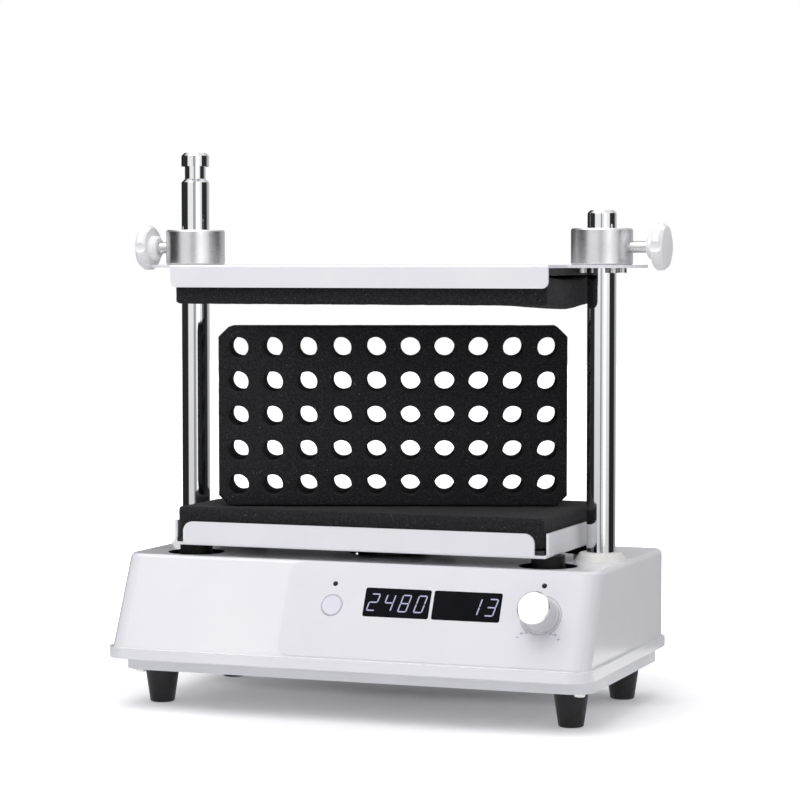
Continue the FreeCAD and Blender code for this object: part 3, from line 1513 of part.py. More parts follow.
housing_cover()
base_pan()
rubber_feet()
foot_screws()
add_base_screws()
control_panel_film()
number_display("speed_display", "speed_window_left", "speed_window_right")
number_display("time_display", "time_window_left", "time_window_right")
indicator_leds()
start_button()
button_switch()
encoder_body()
encoder_nut()
encoder_plunger()
encoder_shaft()
speed_knob()
control_board()
board_spacers()
board_screws()
chassis_plate()
chassis_pillars()
chassis_screws()
motor()
motor_screws()
motor_shaft()
eccentric_coupling()
counterweight()
hub_bearing()
tray_hub()
hub_screws()
tray()
tray_posts()
post_screws()
lower_board()
lower_foam_pad()
tube_rack()
left_column()
right_column()
column_nuts()
column_trim_rings()
top_plate()
upper_backing()
upper_foam_pad()
collar_screws()
for side, centre, turn, reach in (
    ("left", "-column_spacing / 2", "180", "left_knob_reach"),
    ("right", "column_spacing / 2", "0", "right_knob_reach"),
):
    collar(side, centre, turn)
    star_knob(side, centre, turn, reach)
    clamp_screw(side, centre, turn, reach)
    tip_pad(side, centre, turn)
power_inlet()
inlet_pins()
fuse_drawer()
power_switch()
switch_rocker()
power_supply()
motor_driver()

doc.recompute()
for item in doc.Objects:
    if "Invalid" in item.State or "Error" in item.State:
        raise RuntimeError("%s failed: %s" % (item.Label, item.State))
pieces = [item for item in doc.Objects if item.TypeId == "PartDesign::Body"]
for piece in pieces:
    if piece.Shape.isNull() or not piece.Shape.isValid():
        raise RuntimeError("%s has no valid shape" % piece.Label)
for piece in pieces:
    piece.Shape.exportStep("parts/%s.step" % piece.Label)
    print(piece.Label, len(piece.Shape.Solids), round(piece.Shape.Volume))
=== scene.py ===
# Multi-tube vortex mixer: finishes, foam, display and studio round the solid parts, in metres
import json
import math

import bmesh
import bpy
from mathutils import Matrix, Vector


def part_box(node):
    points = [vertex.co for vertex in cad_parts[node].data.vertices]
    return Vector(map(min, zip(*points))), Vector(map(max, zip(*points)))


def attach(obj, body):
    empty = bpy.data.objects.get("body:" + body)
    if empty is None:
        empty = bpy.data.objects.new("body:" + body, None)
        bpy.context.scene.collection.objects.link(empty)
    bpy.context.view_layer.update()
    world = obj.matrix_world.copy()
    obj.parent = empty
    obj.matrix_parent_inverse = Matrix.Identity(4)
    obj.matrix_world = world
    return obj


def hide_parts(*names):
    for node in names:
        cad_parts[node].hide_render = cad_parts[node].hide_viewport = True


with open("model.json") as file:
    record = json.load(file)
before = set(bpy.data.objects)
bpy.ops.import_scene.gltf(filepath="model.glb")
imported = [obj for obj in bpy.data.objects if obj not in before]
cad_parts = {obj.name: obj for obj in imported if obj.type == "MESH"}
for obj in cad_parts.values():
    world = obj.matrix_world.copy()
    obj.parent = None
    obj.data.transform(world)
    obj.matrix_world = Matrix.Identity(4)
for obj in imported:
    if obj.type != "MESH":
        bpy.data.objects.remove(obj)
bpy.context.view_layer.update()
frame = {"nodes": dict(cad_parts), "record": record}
nodes = frame["nodes"]
mounts = {mount["name"]: mount for mount in frame["record"]["mounts"]}
print("Solid parts loaded:", len(nodes))


# Small tools for node trees
noiseSpan = (0.3, 0.7)                 # the part of a noise's range that is used
mixFirst = 6                           # sockets of a colour mix
mixSecond = 7
mixResult = 2
tiny = 1e-5                            # metres within which two places count as the same

def addNode(tree, kind, values=None, **settings):
    # values gives each socket a constant or another node's output
    node = tree.nodes.new(kind)
    for name, value in settings.items():
        setattr(node, name, value)
    for socket, value in (values or {}).items():
        if isinstance(value, bpy.types.NodeSocket):
            tree.links.new(value, node.inputs[socket])
        else:
            node.inputs[socket].default_value = value
    return node


def startMaterial(name, shine):
    material = bpy.data.materials.new(name)
    material.use_nodes = True
    tree = material.node_tree
    shader = tree.nodes["Principled BSDF"]
    for socket, value in shine.items():
        shader.inputs[socket].default_value = value
    place = addNode(tree, "ShaderNodeTexCoord").outputs["Object"]
    return material, tree, shader, place


def addCloud(tree, place, size, detail=3.0):
    # Soft noise whose patches are about size metres across
    cloud = addNode(tree, "ShaderNodeTexNoise", {"Vector": place, "Scale": 1 / size, "Detail": detail})
    return cloud.outputs["Fac"]


def addRange(tree, value, low, high, start=noiseSpan[0], end=noiseSpan[1]):
    spread = {"Value": value, "From Min": start, "From Max": end, "To Min": low, "To Max": high}
    return addNode(tree, "ShaderNodeMapRange", spread).outputs["Result"]


def addBlend(tree, share, first, second):
    mix = addNode(tree, "ShaderNodeMix", data_type="RGBA")
    tree.links.new(share, mix.inputs["Factor"])
    for socket, value in ((mixFirst, first), (mixSecond, second)):
        if isinstance(value, bpy.types.NodeSocket):
            tree.links.new(value, mix.inputs[socket])
        else:
            mix.inputs[socket].default_value = (*value, 1)
    return mix.outputs[mixResult]


def addMath(tree, operation, first, second):
    return addNode(tree, "ShaderNodeMath", {0: first, 1: second}, operation=operation).outputs[0]


def addRelief(tree, shader, height, depth, strength=1.0):
    values = {"Height": height, "Distance": depth, "Strength": strength}
    relief = addNode(tree, "ShaderNodeBump", values)
    tree.links.new(relief.outputs["Normal"], shader.inputs["Normal"])


# Moulded plastics, paints and rubber: a colour that drifts a little, and a fine grain
mouldedFinishes = {
    "cover_white": {
        "color": (0.82, 0.82, 0.855), "tint": (0.86, 0.86, 0.89), "patch": 0.06,
        "roughness": (0.13, 0.19), "grain": 0.0009, "depth": 0.000012, "coat": 0.25,
    },
    "pan_white": {
        "color": (0.80, 0.80, 0.83), "tint": (0.84, 0.84, 0.87), "patch": 0.04,
        "roughness": (0.34, 0.42), "grain": 0.0006, "depth": 0.00003, "coat": 0.0,
    },
    "sheet_white": {
        "color": (0.83, 0.83, 0.865), "tint": (0.87, 0.87, 0.895), "patch": 0.05,
        "roughness": (0.30, 0.38), "grain": 0.0008, "depth": 0.00004, "coat": 0.0,
    },
    "rubber_black": {
        "color": (0.005, 0.005, 0.006), "tint": (0.011, 0.011, 0.012), "patch": 0.008, "gloss": 0.3,
        "roughness": (0.45, 0.6), "grain": 0.0005, "depth": 0.00005, "coat": 0.0,
    },
    "knob_white": {
        "color": (0.89, 0.885, 0.89), "tint": (0.92, 0.915, 0.92), "patch": 0.02,
        "roughness": (0.36, 0.46), "grain": 0.0007, "depth": 0.00004, "coat": 0.0,
    },
    "board_black": {
        "color": (0.012, 0.012, 0.014), "tint": (0.022, 0.022, 0.024), "patch": 0.02,
        "roughness": (0.5, 0.6), "grain": 0.0006, "depth": 0.00004, "coat": 0.0,
    },
    "trim_cream": {
        "color": (0.83, 0.82, 0.79), "tint": (0.87, 0.86, 0.835), "patch": 0.01,
        "roughness": (0.34, 0.44), "grain": 0.0006, "depth": 0.00003, "coat": 0.0,
    },
    "film_grey": {
        "color": (0.765, 0.76, 0.795), "tint": (0.79, 0.785, 0.82), "patch": 0.05,
        "roughness": (0.42, 0.5), "grain": 0.0003, "depth": 0.00001, "coat": 0.0,
    },
    "key_grey": {
        "color": (0.745, 0.74, 0.81), "tint": (0.775, 0.77, 0.835), "patch": 0.01,
        "roughness": (0.4, 0.48), "grain": 0.0003, "depth": 0.00001, "coat": 0.0,
    },
    "display_dark": {
        "color": (0.003, 0.003, 0.005), "tint": (0.005, 0.005, 0.009), "patch": 0.02, "gloss": 0.06,
        "roughness": (0.10, 0.16), "grain": 0.001, "depth": 0.000004, "coat": 0.0,
    },
    "lamp_clear": {
        "color": (0.006, 0.006, 0.008), "tint": (0.012, 0.012, 0.015), "patch": 0.002, "gloss": 0.25,
        "roughness": (0.12, 0.2), "grain": 0.001, "depth": 0.000004, "coat": 0.0,
    },
    "motor_black": {
        "color": (0.02, 0.02, 0.023), "tint": (0.035, 0.035, 0.04), "patch": 0.02,
        "roughness": (0.34, 0.46), "grain": 0.0009, "depth": 0.00005, "coat": 0.0,
    },
    "chassis_steel": {                 # sheet under the deck, near black and without gloss: painted shade, so the deck's openings look as dark as the shaded inside of the housing
        "color": (0.005, 0.005, 0.006), "tint": (0.009, 0.009, 0.010), "patch": 0.02, "gloss": 0.0,
        "roughness": (0.7, 0.8), "grain": 0.0006, "depth": 0.00003, "coat": 0.0,
    },
    "inlet_black": {
        "color": (0.014, 0.014, 0.015), "tint": (0.026, 0.026, 0.028), "patch": 0.01,
        "roughness": (0.36, 0.5), "grain": 0.0005, "depth": 0.00004, "coat": 0.0,
    },
}


fineDetail = 2.0                       # detail of the finer noises
mouldedDetail = {"coatRoughness": 0.08, "gloss": 0.5, "polishPatch": 0.4}


def makeMoulded(name, look):
    material, tree, shader, place = startMaterial(name, {
        "Coat Weight": look["coat"],
        "Coat Roughness": mouldedDetail["coatRoughness"],
        "Specular IOR Level": look.get("gloss", mouldedDetail["gloss"]),
    })
    drift = addCloud(tree, place, look["patch"])
    grain = addCloud(tree, place, look["grain"], fineDetail)
    tint = addBlend(tree, addRange(tree, drift, 0, 1), look["color"], look["tint"])
    tree.links.new(tint, shader.inputs["Base Color"])
    polishCloud = addCloud(tree, place, look["patch"] * mouldedDetail["polishPatch"])
    polish = addRange(tree, polishCloud, *look["roughness"])
    tree.links.new(polish, shader.inputs["Roughness"])
    addRelief(tree, shader, grain, look["depth"])
    return material


# Metals: turned, ground or plated, with lines that run round the turning axis or along the grain
metalFinishes = {
    "column_chrome": {
        "color": (0.80, 0.805, 0.82), "tint": (0.84, 0.845, 0.86), "roughness": (0.035, 0.075),
        "line": (0.004, 0.004, 0.0004), "depth": 0.0000015, "patch": 0.03,
    },
    "collar_metal": {
        "color": (0.74, 0.735, 0.755), "tint": (0.80, 0.795, 0.81), "roughness": (0.27, 0.36),
        "line": (0.006, 0.006, 0.0003), "depth": 0.000012, "patch": 0.012,
    },
    "screw_steel": {
        "color": (0.60, 0.60, 0.60), "tint": (0.68, 0.675, 0.66), "roughness": (0.2, 0.34),
        "line": (0.001, 0.001, 0.0004), "depth": 0.00001, "patch": 0.004,
    },
    "shaft_steel": {
        "color": (0.50, 0.51, 0.53), "tint": (0.58, 0.59, 0.60), "roughness": (0.2, 0.3),
        "line": (0.006, 0.006, 0.0004), "depth": 0.00001, "patch": 0.01,
    },
    "hub_black": {
        "color": (0.02, 0.02, 0.023), "tint": (0.03, 0.03, 0.034), "roughness": (0.3, 0.4),
        "line": (0.006, 0.006, 0.0004), "depth": 0.00001, "patch": 0.01,
    },
    "tip_brass": {
        "color": (0.72, 0.55, 0.26), "tint": (0.80, 0.64, 0.34), "roughness": (0.24, 0.36),
        "line": (0.0004, 0.003, 0.003), "depth": 0.00001, "patch": 0.003,
    },
    "pin_metal": {
        "color": (0.64, 0.64, 0.62), "tint": (0.72, 0.72, 0.69), "roughness": (0.2, 0.3),
        "line": (0.001, 0.004, 0.001), "depth": 0.000008, "patch": 0.003,
    },
}


def makeMetal(name, look):
    material, tree, shader, place = startMaterial(name, {"Metallic": 1.0})
    scales = [1 / size for size in look["line"]]
    stretch = addNode(tree, "ShaderNodeMapping", {"Vector": place, "Scale": scales})
    lines = addNode(tree, "ShaderNodeTexNoise", {
        "Vector": stretch.outputs["Vector"], "Scale": 1.0, "Detail": fineDetail})
    drift = addCloud(tree, place, look["patch"])
    tint = addBlend(tree, addRange(tree, drift, 0, 1), look["color"], look["tint"])
    tree.links.new(tint, shader.inputs["Base Color"])
    tree.links.new(addRange(tree, lines.outputs["Fac"], *look["roughness"]), shader.inputs["Roughness"])
    addRelief(tree, shader, lines.outputs["Fac"], look["depth"])
    return material


# The spun face of the speed knob: fine circles round its axis
spunFace = {
    "color": (0.80, 0.80, 0.815),
    "tint": (0.87, 0.87, 0.88),
    "side": (0.60, 0.60, 0.62),        # the satin side and skirt
    "faceFrom": 0.0082,                # the bright face starts this far out from the knob's middle
    "roughness": (0.22, 0.34),
    "lineStep": 0.00035,
    "lineDetail": 3.0,
    "stretch": 0.35,
    "depth": 0.000004,
}
faceLean = math.radians(25.4)          # the control face leans back by this much
faceUp = Vector((0, math.sin(faceLean), math.cos(faceLean)))
faceOut = Vector((0, -math.cos(faceLean), math.sin(faceLean)))
faceTurn = Matrix((Vector((1, 0, 0)), faceUp, faceOut)).transposed()


def boxMiddle(node):
    low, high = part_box(node)
    return (low + high) / 2


def makeSpun(name, look, middle):
    # Circles round the knob's axis, from the distance to that axis
    material, tree, shader, place = startMaterial(name, {"Anisotropic": look["stretch"]})
    shifted = addNode(tree, "ShaderNodeVectorMath", {0: place, 1: middle}, operation="SUBTRACT").outputs[0]
    dot = addNode(tree, "ShaderNodeVectorMath", {0: shifted, 1: faceOut}, operation="DOT_PRODUCT")
    along = dot.outputs["Value"]
    axisPart = addNode(tree, "ShaderNodeVectorMath", {0: faceOut}, operation="SCALE")
    tree.links.new(along, axisPart.inputs["Scale"])
    spoke = addNode(tree, "ShaderNodeVectorMath", {0: shifted, 1: axisPart.outputs[0]}, operation="SUBTRACT")
    reach = addNode(tree, "ShaderNodeVectorMath", {0: spoke.outputs[0]}, operation="LENGTH").outputs["Value"]
    rings = addMath(tree, "MULTIPLY", reach, 1 / look["lineStep"])
    lines = addNode(tree, "ShaderNodeTexNoise", {"W": rings, "Scale": 1.0, "Detail": look["lineDetail"]},
                    noise_dimensions="1D")
    tint = addBlend(tree, addRange(tree, lines.outputs["Fac"], 0, 1), look["color"], look["tint"])
    isFace = addMath(tree, "GREATER_THAN", along, look["faceFrom"])
    tree.links.new(addBlend(tree, isFace, look["side"], tint), shader.inputs["Base Color"])
    tree.links.new(isFace, shader.inputs["Metallic"])
    tree.links.new(addRange(tree, lines.outputs["Fac"], *look["roughness"]), shader.inputs["Roughness"])
    addRelief(tree, shader, lines.outputs["Fac"], look["depth"])
    return material


# Circuit boards: green lacquer over copper tracks
boardLook = {
    "lacquer": (0.02, 0.12, 0.05),
    "track": (0.05, 0.22, 0.09),
    "pad": (0.62, 0.60, 0.52),
    "trackStep": 0.004,
    "trackSpan": (0.78, 0.84),
    "padSpan": (0.14, 0.18),
    "roughness": 0.35,
    "depth": 0.00003,
}


def makeBoard(name, look):
    material, tree, shader, place = startMaterial(name, {"Roughness": look["roughness"]})
    tracks = addNode(tree, "ShaderNodeTexVoronoi", {"Vector": place, "Scale": 1 / look["trackStep"]},
                     distance="MANHATTAN", feature="F2")
    pads = addNode(tree, "ShaderNodeTexVoronoi", {"Vector": place, "Scale": 1 / look["trackStep"]})
    lines = addRange(tree, tracks.outputs["Distance"], 1, 0, *look["trackSpan"])
    dots = addRange(tree, pads.outputs["Distance"], 1, 0, *look["padSpan"])
    lacquer = addBlend(tree, lines, look["lacquer"], look["track"])
    tree.links.new(addBlend(tree, dots, lacquer, look["pad"]), shader.inputs["Base Color"])
    addRelief(tree, shader, lines, look["depth"])
    return material


# Open cell foam, near black, with painted shade in the cell pits and painted glints on the cell walls
foamLook = {
    "pitShade": (0.004, 0.004, 0.0045),
    "wall": (0.020, 0.020, 0.022),
    "paintedGlint": (0.16, 0.16, 0.175),
    "cell": 0.0010,
    "glintStep": 0.0022,
    "glintSpan": (0.10, 0.17),
    "wallSpan": (0.15, 0.6),
    "livelySize": 0.006,               # the painted glints come in patches about this wide
    "livelySpan": (0.5, 0.68),
    "warpCells": 3,                    # the cells are bent by a noise this many cells wide
    "warpShare": 1.5,
    "depth": 0.00028,
    "shine": {"Roughness": 0.95, "Specular IOR Level": 0.22, "Sheen Weight": 0.06, "Sheen Roughness": 0.6},
}


def makeFoam(name, look):
    material, tree, shader, place = startMaterial(name, look["shine"])
    warp = addNode(tree, "ShaderNodeTexNoise", {
        "Vector": place, "Scale": 1 / (look["warpCells"] * look["cell"]), "Detail": fineDetail})
    bend = addNode(tree, "ShaderNodeVectorMath", {0: warp.outputs["Color"]}, operation="SCALE")
    bend.inputs["Scale"].default_value = look["cell"] * look["warpShare"]
    bent = addNode(tree, "ShaderNodeVectorMath", {0: place, 1: bend.outputs[0]}, operation="ADD").outputs[0]
    cells = addNode(tree, "ShaderNodeTexVoronoi", {"Vector": bent, "Scale": 1 / look["cell"]},
                    feature="SMOOTH_F1")
    sparks = addNode(tree, "ShaderNodeTexVoronoi", {"Vector": bent, "Scale": 1 / look["glintStep"]})
    wallShare = addRange(tree, cells.outputs["Distance"], 0, 1, *look["wallSpan"])
    # The pits get a colour darker than the foam's own colour on the walls: painted shade in the hollows
    cellsWithPitShade = addBlend(tree, wallShare, look["pitShade"], look["wall"])
    lively = addRange(tree, addCloud(tree, place, look["livelySize"]), 0, 1, *look["livelySpan"])
    near = addRange(tree, sparks.outputs["Distance"], 1, 0, *look["glintSpan"])
    # Painted highlights: small bright glints put into the base colour
    paintedGlints = addMath(tree, "MULTIPLY", near, lively)
    tree.links.new(addBlend(tree, paintedGlints, cellsWithPitShade, look["paintedGlint"]), shader.inputs["Base Color"])
    addRelief(tree, shader, cells.outputs["Distance"], look["depth"])
    return material


# Inks and glowing segments
inkLook = {"color": (0.36, 0.36, 0.46), "tint": (0.44, 0.44, 0.55), "roughness": 0.5, "patch": 0.0012}
glowLook = {
    "color": (0.60, 0.62, 0.92), "tint": (0.72, 0.74, 1.0), "strength": 0.66, "patch": 0.002,
    "unlit": (0.02, 0.02, 0.03), "roughness": 0.5,
}


def makeInk(name, look):
    material, tree, shader, place = startMaterial(name, {"Roughness": look["roughness"]})
    share = addRange(tree, addCloud(tree, place, look["patch"]), 0, 1)
    tree.links.new(addBlend(tree, share, look["color"], look["tint"]), shader.inputs["Base Color"])
    return material


def makeGlow(name, look):
    material, tree, shader, place = startMaterial(name, {
        "Emission Strength": look["strength"], "Roughness": look["roughness"]})
    share = addRange(tree, addCloud(tree, place, look["patch"]), 0, 1)
    light = addBlend(tree, share, look["color"], look["tint"])
    tree.links.new(light, shader.inputs["Emission Color"])
    shader.inputs["Base Color"].default_value = (*look["unlit"], 1)
    return material


finishes = {slot: makeMoulded(slot, look) for slot, look in mouldedFinishes.items()}
finishes.update({slot: makeMetal(slot, look) for slot, look in metalFinishes.items()})
finishes["dial_silver"] = makeSpun("dial_silver", spunFace, boxMiddle("speed_knob"))
finishes["board_green"] = makeBoard("board_green", boardLook)
finishes["foam_black"] = makeFoam("foam_black", foamLook)
printInk = makeInk("printed_ink", inkLook)
litSegment = makeGlow("lit_segment", glowLook)

for subpart in frame["record"]["subparts"]:
    for holder in nodes[subpart["node"]].material_slots:
        holder.material = finishes[subpart["material_slot"]]
for holder in nodes["hub_screws"].material_slots:
    holder.material = finishes["hub_black"]              # the hub's screws get the hub's near-black finish in place of steel, so they show no bright glint
print("Finishes made:", len(finishes))


# Modelling helpers
smoothAngles = {"printed": 20, "thin": 30, "common": 35, "rack": 50, "pad": 180}   # in degrees
cutDetail = 2                          # octaves of the noise on cut foam

def deselectAll():
    if bpy.context.object and bpy.context.object.mode != "OBJECT":
        bpy.ops.object.mode_set(mode="OBJECT")
    bpy.ops.object.select_all(action="DESELECT")


def takeUp(piece):
    # Make this the one selected, active piece
    deselectAll()
    piece.select_set(True)
    bpy.context.view_layer.objects.active = piece


def pick(piece, kind, test):
    # In edit mode, select only the vertices, edges or faces that pass the test
    bpy.ops.mesh.select_mode(type=kind)
    bpy.ops.mesh.select_all(action="DESELECT")
    mesh = bmesh.from_edit_mesh(piece.data)
    items = {"VERT": mesh.verts, "EDGE": mesh.edges, "FACE": mesh.faces}[kind]
    for item in items:
        if test(item):
            item.select_set(True)
    mesh.select_flush_mode()
    bmesh.update_edit_mesh(piece.data)


def applyModifier(piece, kind, name, **settings):
    takeUp(piece)
    modifier = piece.modifiers.new(name, kind)
    for key, value in settings.items():
        setattr(modifier, key, value)
    bpy.ops.object.modifier_apply(modifier=name)


def settle(piece, place=None):
    # Put the piece's place into its mesh
    if place is not None:
        piece.matrix_world = place
    takeUp(piece)
    bpy.ops.object.transform_apply(location=True, rotation=True, scale=True)


def joinPieces(pieces):
    deselectAll()
    for piece in pieces:
        piece.select_set(True)
    bpy.context.view_layer.objects.active = pieces[0]
    bpy.ops.object.join()
    return pieces[0]


def finishPiece(piece, name, finish, body, standsFor=(), smoothAngle=smoothAngles["common"]):
    piece.name = name
    piece.data.name = name
    piece.data.materials.clear()
    piece.data.materials.append(finish)
    takeUp(piece)
    bpy.ops.object.shade_smooth_by_angle(angle=math.radians(smoothAngle))
    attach(piece, body)
    if standsFor:
        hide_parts(*standsFor)


def roughen(piece, size, depth):
    # Uneven surface of cut foam
    texture = bpy.data.textures.new(piece.name + "_cut", "CLOUDS")
    texture.noise_scale = size
    texture.noise_depth = cutDetail
    applyModifier(piece, "DISPLACE", "cut", texture=texture, texture_coords="LOCAL",
                  strength=depth, mid_level=0.5)


# Black linings of the deck's round openings, clear of the hub and the posts that swing in them
liningLook = {
    "deckTop": 0.1056,
    "depth": 0.0029,
    "rise": 0.00005,
    "thick": 0.0003,
    "gap": 0.00005,
    "sides": 96,
    # Middle across and along, and radius of each opening
    "openings": ((0.0, 0.009, 0.032), (-0.1304, -0.04, 0.02), (0.1304, -0.04, 0.02),
                 (-0.1304, 0.058, 0.02), (0.1304, 0.058, 0.02)),
}


def makeLinings():
    height = liningLook["depth"] + liningLook["rise"]
    middle = liningLook["deckTop"] + liningLook["rise"] - height / 2
    linings = []
    for across, along, radius in liningLook["openings"]:
        deselectAll()
        bpy.ops.mesh.primitive_cylinder_add(
            vertices=liningLook["sides"], radius=radius - liningLook["gap"], depth=height,
            end_fill_type="NOTHING", location=(across, along, middle))
        lining = bpy.context.object
        settle(lining)
        applyModifier(lining, "SOLIDIFY", "lining", thickness=liningLook["thick"], offset=-1)
        linings.append(lining)
    finishPiece(joinPieces(linings), "opening_linings", finishes["rubber_black"], "housing",
                (), smoothAngles["thin"])


# Foam pads, upper and lower
padLook = {
    "inset": 0.0004,                   # stays inside the solid pad
    "edge": 0.0016,
    "edgeSteps": 2,
    "voxel": 0.0019,
    "cutSize": 0.007,
    "cutDepth": 0.0006,
    "droop": 0.0030,                   # the upper pad's right side hangs a little
    "droopBack": 0.36,                 # where it hangs most, from the front, as a share of the depth
    "droopReach": 0.06,
}


def makePad(name, node, body, droops):
    low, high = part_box(node)
    size = high - low
    inset = Vector((1, 1, 1)) * 2 * padLook["inset"]
    deselectAll()
    bpy.ops.mesh.primitive_cube_add(size=1, location=(low + high) / 2)
    pad = bpy.context.object
    pad.scale = size - inset
    settle(pad)
    bpy.ops.object.mode_set(mode="EDIT")
    bpy.ops.mesh.select_all(action="SELECT")
    bpy.ops.mesh.bevel(offset=padLook["edge"], segments=padLook["edgeSteps"], affect="EDGES")
    bpy.ops.object.mode_set(mode="OBJECT")
    applyModifier(pad, "REMESH", "cells", mode="VOXEL", voxel_size=padLook["voxel"])
    if droops:
        corner = Vector((high.x, low.y + padLook["droopBack"] * size.y, low.z))
        group = pad.vertex_groups.new(name="droop")
        for vertex in pad.data.vertices:
            near = max(0.0, 1 - (Vector(vertex.co) - corner).length / padLook["droopReach"])
            weight = near ** 2 * (3 - 2 * near)            # falls off softly
            if weight > 0:
                group.add([vertex.index], min(weight, 1.0), "REPLACE")
        applyModifier(pad, "DISPLACE", "droop", vertex_group="droop", direction="Z",
                      strength=-padLook["droop"], mid_level=0.0)
    roughen(pad, padLook["cutSize"], padLook["cutDepth"])
    finishPiece(pad, name, finishes["foam_black"], body, (node,), smoothAngles["pad"])


makeLinings()
makePad("lower_foam", "lower_foam_pad", "tray_carrier", False)
makePad("upper_foam", "upper_foam_pad", "press_frame", True)
print("Foam pads made")


# Foam rack: one cell with a round hole, repeated, thickened and softened
rackLook = {
    "length": 0.244,
    "height": 0.1254,
    "thick": 0.056,
    "cornerCut": 0.007,
    "cellSides": 8,
    "depthSteps": 12,
    "rim": 0.0008,
    "rimSteps": 2,
    "rimAngle": math.radians(60),      # edges sharper than this get the rim
    "inset": 0.0003,
    "cutSize": 0.005,
    "cutDepth": 0.0004,
}


def growEdge(piece, axis, place, step):
    # Pull the outer edge that lies at this place along an axis out by step
    pick(piece, "EDGE", lambda edge: all(abs(vertex.co[axis] - place) < tiny for vertex in edge.verts))
    move = [0, 0, 0]
    move[axis] = step
    bpy.ops.mesh.extrude_region_move(TRANSFORM_OT_translate={"value": move})


def makeRackCell(pitch, radius):
    sides = rackLook["cellSides"]
    deselectAll()
    bpy.ops.mesh.primitive_grid_add(x_subdivisions=sides, y_subdivisions=sides, size=pitch)
    rack = bpy.context.object
    bpy.ops.object.mode_set(mode="EDIT")
    pick(rack, "VERT", lambda vertex: max(abs(vertex.co.x), abs(vertex.co.y)) < pitch / 2 - tiny)
    bpy.ops.mesh.delete(type="VERT")
    bpy.ops.mesh.primitive_circle_add(vertices=4 * sides, radius=radius, fill_type="NOTHING")
    bpy.ops.mesh.select_all(action="SELECT")
    bpy.ops.mesh.bridge_edge_loops(number_cuts=1, interpolation="LINEAR", smoothness=0)
    bpy.ops.object.mode_set(mode="OBJECT")
    return rack


def makeRack():
    holes = {name: Vector(mount["pos_m"]) for name, mount in mounts.items() if name.startswith("tube_hole")}
    counts = [tuple(int(number) for number in name.split("_")[2:]) for name in holes]
    along = max(count[0] for count in counts)
    up = max(count[1] for count in counts)
    pitch = (holes["tube_hole_2_1"] - holes["tube_hole_1_1"]).length
    radius = mounts["tube_hole_1_1"]["dims"]["r_mm"] / 1000
    rack = makeRackCell(pitch, radius)
    applyModifier(rack, "ARRAY", "along", count=along, use_relative_offset=False, use_constant_offset=True,
                  constant_offset_displace=(pitch, 0, 0), use_merge_vertices=True, merge_threshold=tiny)
    applyModifier(rack, "ARRAY", "up", count=up, use_relative_offset=False, use_constant_offset=True,
                  constant_offset_displace=(0, pitch, 0), use_merge_vertices=True, merge_threshold=tiny)
    thick = rackLook["thick"] - 2 * rackLook["inset"]
    settle(rack, Matrix.Translation((-(along - 1) * pitch / 2, -(up - 1) * pitch / 2, -thick / 2)))
    halfLength = rackLook["length"] / 2 - rackLook["inset"]
    halfHeight = rackLook["height"] / 2 - rackLook["inset"]
    bpy.ops.object.mode_set(mode="EDIT")
    for axis, inner, outer in ((0, along * pitch / 2, halfLength), (1, up * pitch / 2, halfHeight)):
        for side in (-1, 1):
            growEdge(rack, axis, side * inner, side * (outer - inner))
    for sideX in (-1, 1):
        for sideY in (-1, 1):
            cut = (sideX * (halfLength - rackLook["cornerCut"]), sideY * halfHeight, 0)
            bpy.ops.mesh.select_all(action="SELECT")
            bpy.ops.mesh.bisect(plane_co=cut, plane_no=(sideX, sideY, 0), clear_outer=True)
    bpy.ops.mesh.select_all(action="SELECT")
    for step in range(rackLook["depthSteps"]):
        bpy.ops.mesh.extrude_region_move(
            TRANSFORM_OT_translate={"value": (0, 0, thick / rackLook["depthSteps"])})
    bpy.ops.mesh.select_all(action="SELECT")
    bpy.ops.mesh.normals_make_consistent(inside=False)
    pick(rack, "EDGE", lambda edge: edge.is_manifold and edge.calc_face_angle(0) > rackLook["rimAngle"])
    bpy.ops.mesh.bevel(offset=rackLook["rim"], segments=rackLook["rimSteps"], affect="EDGES")
    bpy.ops.object.mode_set(mode="OBJECT")
    roughen(rack, rackLook["cutSize"], rackLook["cutDepth"])
    middle = sum(holes.values(), Vector()) / len(holes)
    right = (holes["tube_hole_2_1"] - holes["tube_hole_1_1"]).normalized()
    upward = Vector((0, 0, 1))
    place = Matrix.Translation(middle) @ Matrix((right, upward, right.cross(upward))).transposed().to_4x4()
    settle(rack, place)
    finishPiece(rack, "foam_rack", finishes["foam_black"], "rack", ("tube_rack",),
                smoothAngles["rack"])


makeRack()
print("Foam rack made")


# Film, displays, figures and printed marks, drawn flat and laid on the control face

def facePlace(node):
    # Lays a flat drawing on the outer surface of a piece of the control face
    low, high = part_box(node)
    deep = high.y - low.y
    tall = high.z - low.z
    thick = (deep * math.cos(faceLean) - tall * math.sin(faceLean)) / math.cos(2 * faceLean)
    spot = (low + high) / 2 + faceOut * thick / 2
    return Matrix.Translation(spot) @ faceTurn.to_4x4()


filmLook = {
    "left": -0.0456,
    "bend": 0.1605,                    # where the face turns into the rounded right corner
    "top": -0.001,
    "bottom": -0.0682,
    "corner": 0.009,
    "cornerSteps": 6,
    "wrapRadius": 0.013,               # the rounded corner of the cover
    "wrapAngle": math.radians(46),
    "wrapSteps": 10,
    "thick": 0.0004,
    "holeSides": 64,
    # Round holes for the start key, the dial's nut and the two lamps: across, up and radius
    "holes": ((-0.011, -0.0312, 0.0078), (0.138, -0.032, 0.0053), (-0.0108, -0.0158, 0.0018),
              (0.1377, -0.0109, 0.0018)),
    "cutDepth": 0.01,
    "windowGap": 0.00005,
    "windowCorner": 0.0014,
    "windowSteps": 4,
}
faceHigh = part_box("control_panel_film")[1]
faceTop = Vector((0, faceHigh.y, faceHigh.z - faceOut.z * filmLook["thick"]))
onFace = Matrix.Translation(faceTop - faceUp * filmLook["top"]) @ faceTurn.to_4x4()


def cutHole(piece, cutter):
    applyModifier(piece, "BOOLEAN", "hole", object=cutter, operation="DIFFERENCE", solver="EXACT")
    bpy.data.objects.remove(cutter)


